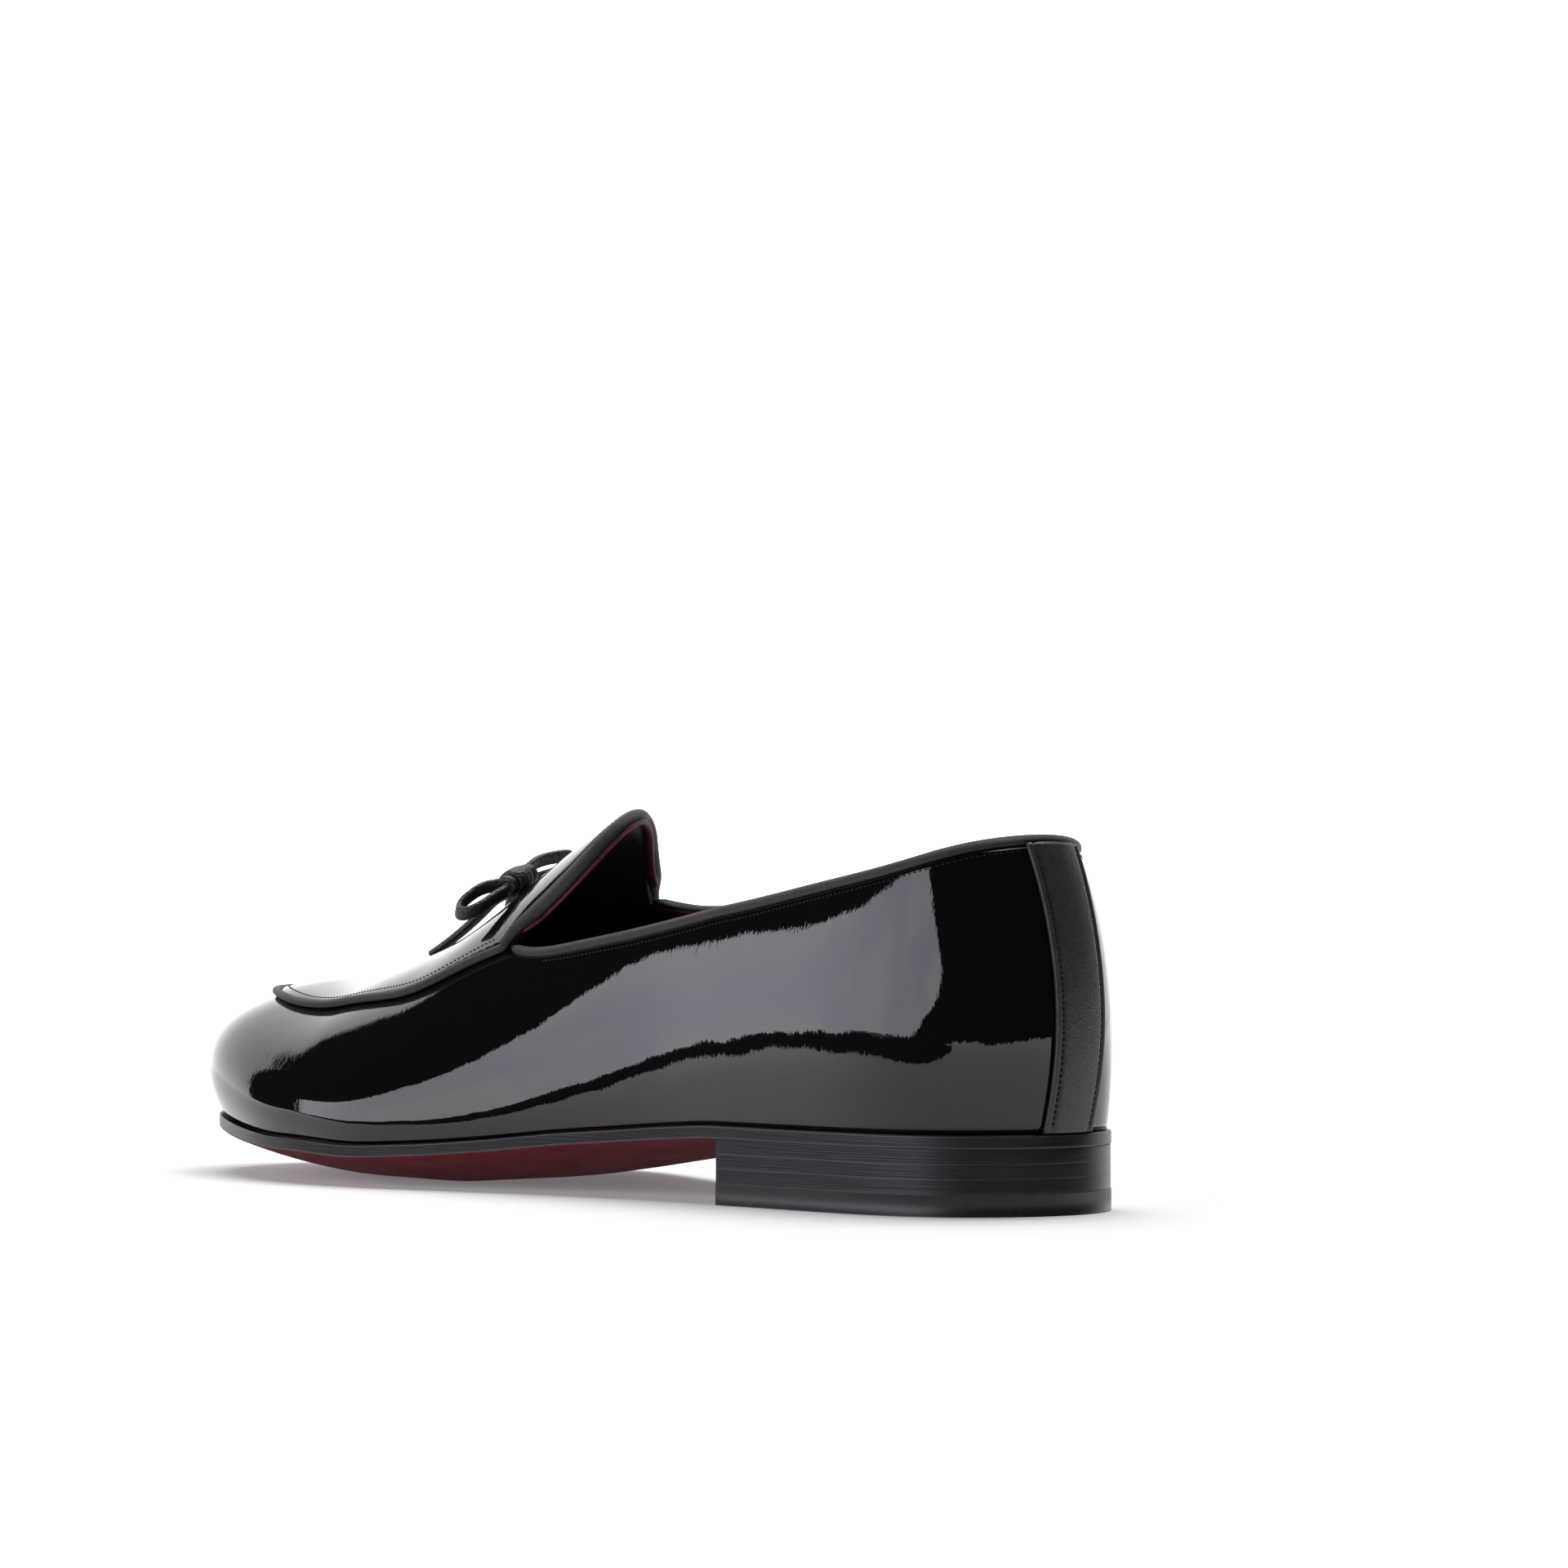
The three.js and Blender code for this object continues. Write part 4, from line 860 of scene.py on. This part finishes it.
def on_plug(pattern):
    point, outward = place(pattern)
    near = np.min([np.linalg.norm(point - r, axis=1) for r in plug_rim], axis=0)
    press = np.clip(near / EDGE_PRESS, 0, 1)
    lift = 0.5 + (plug_lift - 0.5) * press * press * (3 - 2 * press)
    return point + outward * lift[:, None], outward


def plug(u, v):
    return in_model(on_plug(apron_pattern(u, v))[0])


plug_mesh = turn_outwards(weld(grid_mesh(VAMP_COLUMNS, 56, plug), 5e-6))
if max(plug_mesh.faces, key=lambda f: f.calc_center_median().x).normal.z < 0:
    bmesh.ops.reverse_faces(plug_mesh, faces=plug_mesh.faces)
plug_piece = finished(plug_mesh, "apron_plug_leather", [patent.material], ["apron_plug"])
thickness = plug_piece.modifiers.new("leather", "SOLIDIFY")
thickness.thickness = 0.4 * MM
thickness.offset = -1
report("apron_plug_leather")

# %% [markdown]
# ## Piping and bindings
# A thin roll of calf covers the apron's seam and grows into the binding round the tongue,
# which laps over the plug's edge. A second binding runs over the topline from one throat
# round the heel to the other. Both are rolls whose section slowly changes.

# %% Rolls of calf
PIPING_DIAMETER = 2.0
BINDING_TURN = 13.0
BINDING_WIDTH = 2.8


def roll(name, centres, across, rise, half_widths, half_heights, materials, replaced, closed,
         sides=20):
    """An oval roll along a line of stations; an open one has no caps, and its ends are rounded by
    the tapering sizes it is given.
    """
    count = len(centres)

    def shape(u, v):
        at = np.round(v * (count if closed else count - 1)).astype(int) % count
        angle = 2 * math.pi * u
        wide = (np.cos(angle) * half_widths[at])[:, None]
        high = (np.sin(angle) * half_heights[at])[:, None]
        return in_model(centres[at] + across[at] * wide + rise[at] * high)
    mesh = grid_mesh(sides, count if closed else count - 1, shape)
    return finished(turn_outwards(weld(mesh)), name, materials, replaced)


tongue_shares = np.linspace(1, 0, VAMP_COLUMNS + 1)[1:-1]
ring_pattern = np.concatenate([seam_at(vamp_turns), tongue_wall(tongue_shares)])
ring_point, ring_out = place(ring_pattern)
ring_ahead = unit(np.roll(ring_point, -1, axis=0) - np.roll(ring_point, 1, axis=0))
ring_across = unit(np.cross(ring_out, ring_ahead))
steps = np.linalg.norm(np.diff(ring_point[VAMP_COLUMNS:], axis=0, append=ring_point[:1]), axis=1)
from_medial = np.cumsum(np.concatenate([[0], steps[:-1]]))
to_lateral = steps.sum() - from_medial
behind = np.minimum(from_medial, to_lateral)[1:]
part = np.clip(np.concatenate([np.zeros(VAMP_COLUMNS + 1), behind]) / BINDING_TURN, 0, 1)
part = part * part * (3 - 2 * part)
ring_radius = (PIPING_DIAMETER + (TONGUE_BINDING_DIAMETER - PIPING_DIAMETER) * part) / 2
ring_angle = (1 - part) * math.pi / 2
ring_reach = ring_radius + GAP - 0.35 * part
BINDING_LAP = 0.9              # how far the tongue's binding laps over the plug
ring_centre = (ring_point + ring_across * (ring_reach * np.cos(ring_angle)
                                           - BINDING_LAP * part)[:, None]
               + ring_out * (ring_reach * np.sin(ring_angle))[:, None])
ring_width = ring_radius + BINDING_LAP * part
roll("piping_and_tongue_binding", ring_centre, ring_across, ring_out,
     ring_width, ring_radius, [ribbed.material], ["apron_piping"], True)

collar_turns = np.mod(np.linspace(throats[1], throats[0] + 2, 261), 2)
collar_point, collar_out = place(pattern_at(collar_turns, topline_climb(collar_turns)))
collar_ahead = unit(np.gradient(collar_point, axis=0))
collar_up = unit(np.cross(collar_ahead, collar_out))
collar_up *= np.sign(collar_up[:, 2:])
collar_centre = (collar_point + collar_up * (GAP + BINDING_HEIGHT / 2 - 0.1)
                 + collar_out * (GAP - WALL / 2))
open_ends = np.sqrt(np.clip(np.minimum(np.arange(261), 260 - np.arange(261)) / 2, 0, 1))
roll("collar_binding_roll", collar_centre, collar_out, collar_up,
     open_ends * BINDING_WIDTH / 2, open_ends * (BINDING_HEIGHT / 2 + 0.1), [ribbed.material],
     ["collar_binding"], False)
report("piping_and_tongue_binding", "collar_binding_roll")

# %% [markdown]
# ## The edge of the lining
# Inside each binding the burgundy lining comes up to the edge and shows as a thin line.

# %% Burgundy lines
tongue_part = part > 0.35
lining_centre = (ring_centre - ring_out * (ring_radius + 0.15)[:, None]
                 + ring_across * (BINDING_LAP + 0.2))[tongue_part]
lining_ends = np.sqrt(np.clip(np.minimum(np.arange(len(lining_centre)),
                                         len(lining_centre) - 1 - np.arange(len(lining_centre)))
                              / 4, 0, 1))
roll("tongue_lining_edge", lining_centre, ring_across[tongue_part], ring_out[tongue_part],
     lining_ends * 0.9, lining_ends * 0.6, [burgundy.material], (), False, 12)
roll("collar_lining_edge", collar_centre - collar_out * 1.25 - collar_up * 0.55, collar_out,
     collar_up, open_ends * 0.55, open_ends * 0.75, [burgundy.material], (), False, 12)
report("tongue_lining_edge", "collar_lining_edge")

# %% [markdown]
# ## The back stay
# A strip of pebbled calf covers the back seam from the sole to the binding. Its edges are
# told as distances off the middle line, so each is found by halving along its height.

# %% Back stay
# share of the height to the topline, lateral, medial: shares of HEEL_WIDTH
BACK_STAY = [(0.00, 0.092, -0.134), (0.25, 0.063, -0.184), (0.60, 0.056, -0.200),
             (1.00, 0.068, -0.194)]
stay_lateral, stay_medial = column_of(BACK_STAY, 1), column_of(BACK_STAY, 2)
STAY_ROW = 1.9                 # the stitches stand in a groove this far from each edge


def stay_pattern(side, share):
    low, high = np.full_like(side, -throats[0]), np.full_like(side, throats[0])
    for _ in range(36):
        middle = (low + high) / 2
        climb = share * topline_climb(np.mod(middle, 2))
        before = point_on(columns(middle), climb)[..., 1] < side
        low, high = np.where(before, middle, low), np.where(before, high, middle)
    return pattern_at(low, share * topline_climb(np.mod(low, 2)))


def back_stay(u, v):
    lateral, medial = stay_lateral(v) * HEEL_WIDTH, stay_medial(v) * HEEL_WIDTH
    pattern = stay_pattern(medial + u * (lateral - medial), v)
    point, outward = place(pattern)
    rim = np.minimum(np.minimum(u, 1 - u) * (lateral - medial) / 0.9, 1)
    lift = GAP + 0.3 + (OVERLAY_THICKNESS - 0.3) * np.sqrt(np.clip(1 - (1 - rim) ** 2, 0, 1))
    from_row = np.minimum(u, 1 - u) * (lateral - medial) - STAY_ROW
    lift = lift - 0.5 * np.exp(-(from_row / 0.5) ** 2)
    return in_model(point + outward * lift[:, None])


stay_mesh = turn_outwards(weld(grid_mesh(80, 70, back_stay)))
if min(stay_mesh.faces, key=lambda f: f.calc_center_median().x).normal.x > 0:
    bmesh.ops.reverse_faces(stay_mesh, faces=stay_mesh.faces)
stay = finished(stay_mesh, "back_stay_leather", [pebbled.material], ["back_stay"])
stay_wall = stay.modifiers.new("leather", "SOLIDIFY")
stay_wall.thickness = 0.5 * MM
stay_wall.offset = -1
report("back_stay_leather")

# %% [markdown]
# ## Stitches
# Fine rows of black thread run beside the piping, under the collar's binding and near both
# edges of the back stay. Each stitch is one small lens of thread, laid a little into the
# leather.

# %% Rows of stitches
STITCH_PITCH = 1.35
STITCH_LENGTH, STITCH_WIDTH, STITCH_RISE = 0.95, 0.42, 0.45


def stitch_row(name, points, outward, width=STITCH_WIDTH):
    """Stitches along a line of points, each in the direction of the line."""
    gone = np.concatenate([[0], np.cumsum(np.linalg.norm(np.diff(points, axis=0), axis=1))])
    stops = np.arange(STITCH_PITCH / 2, gone[-1], STITCH_PITCH)
    at = [np.stack([np.interp(stops, gone, source[:, k]) for k in range(3)], axis=-1)
          for source in (points, outward, np.gradient(points, axis=0))]
    mesh = bmesh.new()
    for centre, out, ahead in zip(*at):
        ahead = ahead / np.linalg.norm(ahead)
        side = np.cross(out, ahead)
        side /= np.linalg.norm(side)
        axes = np.stack([ahead * STITCH_LENGTH / 2, side * width / 2,
                         np.cross(ahead, side) * STITCH_RISE / 2], axis=1) * MM
        matrix = Matrix.Identity(4)
        for row in range(3):
            for col in range(3):
                matrix[row][col] = axes[row, col]
            matrix[row][3] = in_model(centre)[row]
        bmesh.ops.create_icosphere(mesh, subdivisions=1, radius=1, matrix=matrix)
    finished(turn_outwards(mesh), name, [thread.material], ())
    print(name, "stitches:", len(stops))


def apron_line(inset):
    ahead = unit(np.gradient(seam_at(vamp_turns), axis=0))
    inwards = np.stack([ahead[:, 1], -ahead[:, 0]], axis=-1)
    patterns = seam_at(vamp_turns) + inwards * inset
    point, outward = on_plug(patterns)
    return point[2:-2], outward[2:-2]


stitch_row("plug_stitches", *apron_line(1.9))
along_binding = slice(np.argmax(part > 0.15), len(part) - np.argmax(part[::-1] > 0.15))
seam_place = -0.35 * ring_width
seam_rise = ring_radius * np.sqrt(1 - (seam_place / ring_width) ** 2)
stitch_row("tongue_binding_stitches", (ring_centre + ring_across * seam_place[:, None]
                                       + ring_out * seam_rise[:, None])[along_binding],
           ring_out[along_binding])

collar_row = slice(8, -8)
below, below_out = place(pattern_at(collar_turns, topline_climb(collar_turns) - 0.012)[collar_row])
lateral_side = below[:, 1] > stay_lateral(0.97) * HEEL_WIDTH + 0.6
medial_side = below[:, 1] < stay_medial(0.97) * HEEL_WIDTH - 0.6
stitch_row("collar_stitches_lateral", below[lateral_side], below_out[lateral_side])
stitch_row("collar_stitches_medial", below[medial_side], below_out[medial_side])
heights = np.linspace(0.02, 0.98, 90)
for edge, inwards, word in ((stay_lateral, -STAY_ROW, "lateral"),
                            (stay_medial, STAY_ROW, "medial")):
    edge_line, edge_out = place(stay_pattern(edge(heights) * HEEL_WIDTH + inwards, heights))
    stitch_row(f"stay_stitches_{word}", edge_line + edge_out * (plug_lift - 0.3), edge_out, 0.62)

# %% [markdown]
# ## Sole and heel
# The outsole is one plate of leather, crowned below and trimmed close to the upper. Its edge
# is inked black and its bottom is stained. The heel is a stack of three lifts on a rubber top
# piece, trimmed flush.

# %% Outsole, lifts, top piece and sock
SOLE_STATIONS, SOLE_STRIPS = 170, 30


def plate(height, inset):
    def shape(u, v):
        near, far = outline_at(v, inset), outline_at(2 - v, inset)
        plan = near * (1 - u[:, None]) + far * u[:, None]
        return in_model(np.concatenate([plan, height(plan)[:, None]], axis=1))
    return shape


def raise_in_steps(mesh, lower, thickness, margin):
    """Extrude upwards, with a loop near each rim that keeps the side's shading flat."""
    layer, keep = lower, True
    for step in (margin, thickness - 2 * margin, margin):
        lifted = bmesh.ops.extrude_face_region(mesh, geom=layer, use_keep_orig=keep)["geom"]
        bmesh.ops.translate(mesh, verts=[g for g in lifted if isinstance(g, bmesh.types.BMVert)],
                            vec=(0, 0, step * MM))
        layer, keep = [g for g in lifted if isinstance(g, bmesh.types.BMFace)], False


def thick_plate(height, inset, thickness, round_edge):
    """A plate on the sole's curve: bottom faces have material 1, the rest material 0."""
    mesh = weld(grid_mesh(SOLE_STRIPS, SOLE_STATIONS, plate(height, inset)))
    turn_outwards(mesh)
    if sum(f.normal.z for f in mesh.faces) > 0:
        bmesh.ops.reverse_faces(mesh, faces=mesh.faces)
    breast = in_model([HEEL_LENGTH - 0.5, 0, 0])[0]
    lower = list(mesh.faces)
    for face in lower:
        face.material_index = 1 if face.calc_center_median().x > breast else 0
    stained = {f for f in lower if f.material_index == 1}
    raise_in_steps(mesh, lower, thickness, round_edge + 0.15)
    for face in mesh.faces:
        face.material_index = 1 if face in stained else 0
    turn_outwards(mesh)
    rims = [e for e in mesh.edges if len(e.link_faces) == 2 and e.calc_face_angle(0) > 0.9]
    bmesh.ops.bevel(mesh, geom=rims, offset=round_edge * MM, segments=3, profile=0.5,
                    affect="EDGES", material=-1)
    return mesh


outsole_mesh = thick_plate(sole_underside, 0.0, SOLE_THICKNESS, 0.45)
outsole = finished(outsole_mesh, "leather_outsole", [edge_ink.material, bottom.material],
                   ["outsole"])
INSOLE_THICKNESS = 2.0
insole_mesh = thick_plate(lambda plan: sole_underside(plan) + SOLE_THICKNESS + GAP,
                          FEATHER_INSET + WALL + GAP, INSOLE_THICKNESS, 0.4)
finished(insole_mesh, "sock_and_insole", [sock.material, sock.material], ["insole"])
TOP_PIECE_THICKNESS, LIFT_INSET = 5.0, 0.15
HEEL_POINTS = 160
heel_turn = float(turn_at(HEEL_LENGTH / LENGTH))


def heel_layer(name, inset, lower_z, upper_z, material, replaced):
    mesh = bmesh.new()
    bmesh.ops.create_circle(mesh, cap_ends=True, segments=HEEL_POINTS, radius=1)
    plan = outline_at(np.linspace(-heel_turn, heel_turn, HEEL_POINTS), inset)
    for vert, point in zip(mesh.verts, plan):
        vert.co = in_model([*point, lower_z])
    raise_in_steps(mesh, list(mesh.faces), upper_z - lower_z, 0.25)
    turn_outwards(mesh)
    rims = [e for e in mesh.edges if e.calc_face_angle(0) > 0.9]
    bmesh.ops.bevel(mesh, geom=rims, offset=0.04 * MM, segments=2, profile=0.5, affect="EDGES",
                    material=-1)
    piece = finished(mesh, name, [material], [replaced])
    for polygon in piece.data.polygons:
        polygon.use_smooth = len(polygon.vertices) < 8
    return piece


lift_thickness = (HEEL_HEIGHT - TOP_PIECE_THICKNESS) / 3
heel_layer("rubber_top_piece", 0.0, 0.0, TOP_PIECE_THICKNESS, rubber.material, "top_piece")
for number in range(3):
    low_z = TOP_PIECE_THICKNESS + number * lift_thickness
    heel_layer(f"leather_lift_{number + 1}", LIFT_INSET, low_z, low_z + lift_thickness,
               edge_ink.material, f"heel_lift_{number + 1}")
report("leather_outsole", "sock_and_insole", "rubber_top_piece", "leather_lift_1")

# %% [markdown]
# ## The studio
# The patent leather shows what stands round it, so the studio is built for its reflections. A
# white floor and a white wall lie behind the shoe. A large lit cloth stands ahead of the
# lateral side, a low black card lies between it and the shoe, and the rest is left dark.

# %% Floor, wall and lamps
FLOOR_GLOW = (0.14, 1.0)       # of the white floor, near the shoe and far from it


def paper(name, corners, strength):
    mesh = bmesh.new()
    bmesh.ops.create_grid(mesh, x_segments=1, y_segments=1, size=0.5)
    for vert in mesh.verts:
        u, v = vert.co.x + 0.5, vert.co.y + 0.5
        a, b, c, d = (np.array(corner, float) for corner in corners)
        vert.co = a * (1 - u) * (1 - v) + b * u * (1 - v) + c * u * v + d * (1 - u) * v
    data = bpy.data.meshes.new(name)
    mesh.to_mesh(data)
    mesh.free()
    surface = bpy.data.materials.new(name)
    surface.use_nodes = True
    shader = next(n for n in surface.node_tree.nodes if n.type == "BSDF_PRINCIPLED")
    shader.inputs["Base Color"].default_value = (0.86, 0.86, 0.86, 1)
    shader.inputs["Roughness"].default_value = 1.0
    shader.inputs["Specular IOR Level"].default_value = 0.0
    shader.inputs["Emission Color"].default_value = (1, 1, 1, 1)
    shader.inputs["Emission Strength"].default_value = strength
    data.materials.append(surface)
    sheet_object = bpy.data.objects.new(name, data)
    bpy.context.collection.objects.link(sheet_object)
    return sheet_object


def studio(right, forward, up=0.0):
    """A place in the studio, in metres from the shoe, as the camera sees it."""
    return to_right * right + away * forward + upwards * up


floor = paper("floor paper", [studio(-5, -1.6), studio(5, -1.6), studio(5, 4), studio(-5, 4)],
              0.0)
floor_nodes = floor.data.materials[0].node_tree
floor_place = floor_nodes.nodes.new("ShaderNodeTexCoord")
floor_reach = floor_nodes.nodes.new("ShaderNodeVectorMath")
floor_reach.operation = "LENGTH"
floor_glow = floor_nodes.nodes.new("ShaderNodeMapRange")
for socket, number in (("From Min", 0.2), ("From Max", 1.5), ("To Min", FLOOR_GLOW[0]),
                       ("To Max", FLOOR_GLOW[1])):
    floor_glow.inputs[socket].default_value = number
floor_shader = next(n for n in floor_nodes.nodes if n.type == "BSDF_PRINCIPLED")
floor_nodes.links.new(floor_place.outputs["Object"], floor_reach.inputs[0])
floor_nodes.links.new(floor_reach.outputs["Value"], floor_glow.inputs["Value"])
floor_nodes.links.new(floor_glow.outputs["Result"], floor_shader.inputs["Emission Strength"])
paper("wall paper", [studio(-5, 4), studio(5, 4), studio(5, 4, 3.2), studio(-5, 4, 3.2)], 1.0)
for card_number, ((x1, y1, top1), (x2, y2, top2)) in enumerate((
        ((-0.20, 0.45, 0.034), (1.30, 0.96, 0.034)),
        ((-0.50, 0.66, 0.016), (-0.20, 0.45, 0.034)))):
    card = paper(f"black card {card_number + 1}",
                 [(x1, y1, 0), (x2, y2, 0), (x2, y2, top2), (x1, y1, top1)], 0.0)
    card_shader = next(n for n in card.data.materials[0].node_tree.nodes
                       if n.type == "BSDF_PRINCIPLED")
    card_shader.inputs["Base Color"].default_value = (0.01, 0.01, 0.01, 1)


def lamp(name, position, target, width, height, power):
    data = bpy.data.lights.new(name, "AREA")
    data.shape = "RECTANGLE"
    data.size, data.size_y = width, height
    data.energy = power
    light = bpy.data.objects.new(name, data)
    light.location = position
    light.rotation_euler = (Vector(target) - Vector(position)).to_track_quat("-Z", "Y").to_euler()
    bpy.context.collection.objects.link(light)
    return light


lamp("overhead lamp", studio(0.2, 0.9, 2.6), studio(0, 0.4, 0), 2.6, 2.0, 84)

# A curved cloth ahead of the lateral side, lit from behind. Its upper edge climbs towards the
# heel. Directions are degrees round from the toe and degrees above the floor.
CLOTH_DISTANCE = 2.0
cloth_right = smooth_curve([0, 7, 14, 24, 36], [86, 106, 110, 103, 92])
cloth_top = smooth_curve([33, 54, 75, 94, 112], [11, 19, 27, 34, 37])
cloth_mesh = bmesh.new()
bmesh.ops.create_grid(cloth_mesh, x_segments=32, y_segments=16, size=0.5)
for vert in cloth_mesh.verts:
    u, v = vert.co.x + 0.5, vert.co.y + 0.5
    climb = v * float(cloth_top(33 + 79 * u))
    turn = math.radians(33 + u * (float(cloth_right(climb)) - 33))
    climb = math.radians(climb)
    vert.co = (CLOTH_DISTANCE * math.cos(climb) * math.cos(turn) - 0.08,
               CLOTH_DISTANCE * math.cos(climb) * math.sin(turn),
               CLOTH_DISTANCE * math.sin(climb) + 0.035)
cloth_data = bpy.data.meshes.new("lit cloth")
cloth_mesh.to_mesh(cloth_data)
cloth_mesh.free()
cloth = bpy.data.objects.new("lit cloth", cloth_data)
bpy.context.collection.objects.link(cloth)
glow = Finish("lit cloth", (0.0, 0.0, 0.0), 1.0, specular=0.0)
glow.ramp(glow.noise(1.6, 2), [(0.35, (0.86, 0.82, 1.0)), (0.62, (1.0, 0.97, 1.0))],
          "Emission Color")
glow.shader.inputs["Emission Strength"].default_value = 3.4
cloth_data.materials.append(glow.material)

world = bpy.data.worlds.new("studio")
bpy.context.scene.world = world
world.use_nodes = True
background = next(n for n in world.node_tree.nodes if n.type == "BACKGROUND")
background.inputs["Color"].default_value = (1, 1, 1, 1)
background.inputs["Strength"].default_value = 0.012
bpy.context.scene.view_settings.view_transform = "Standard"
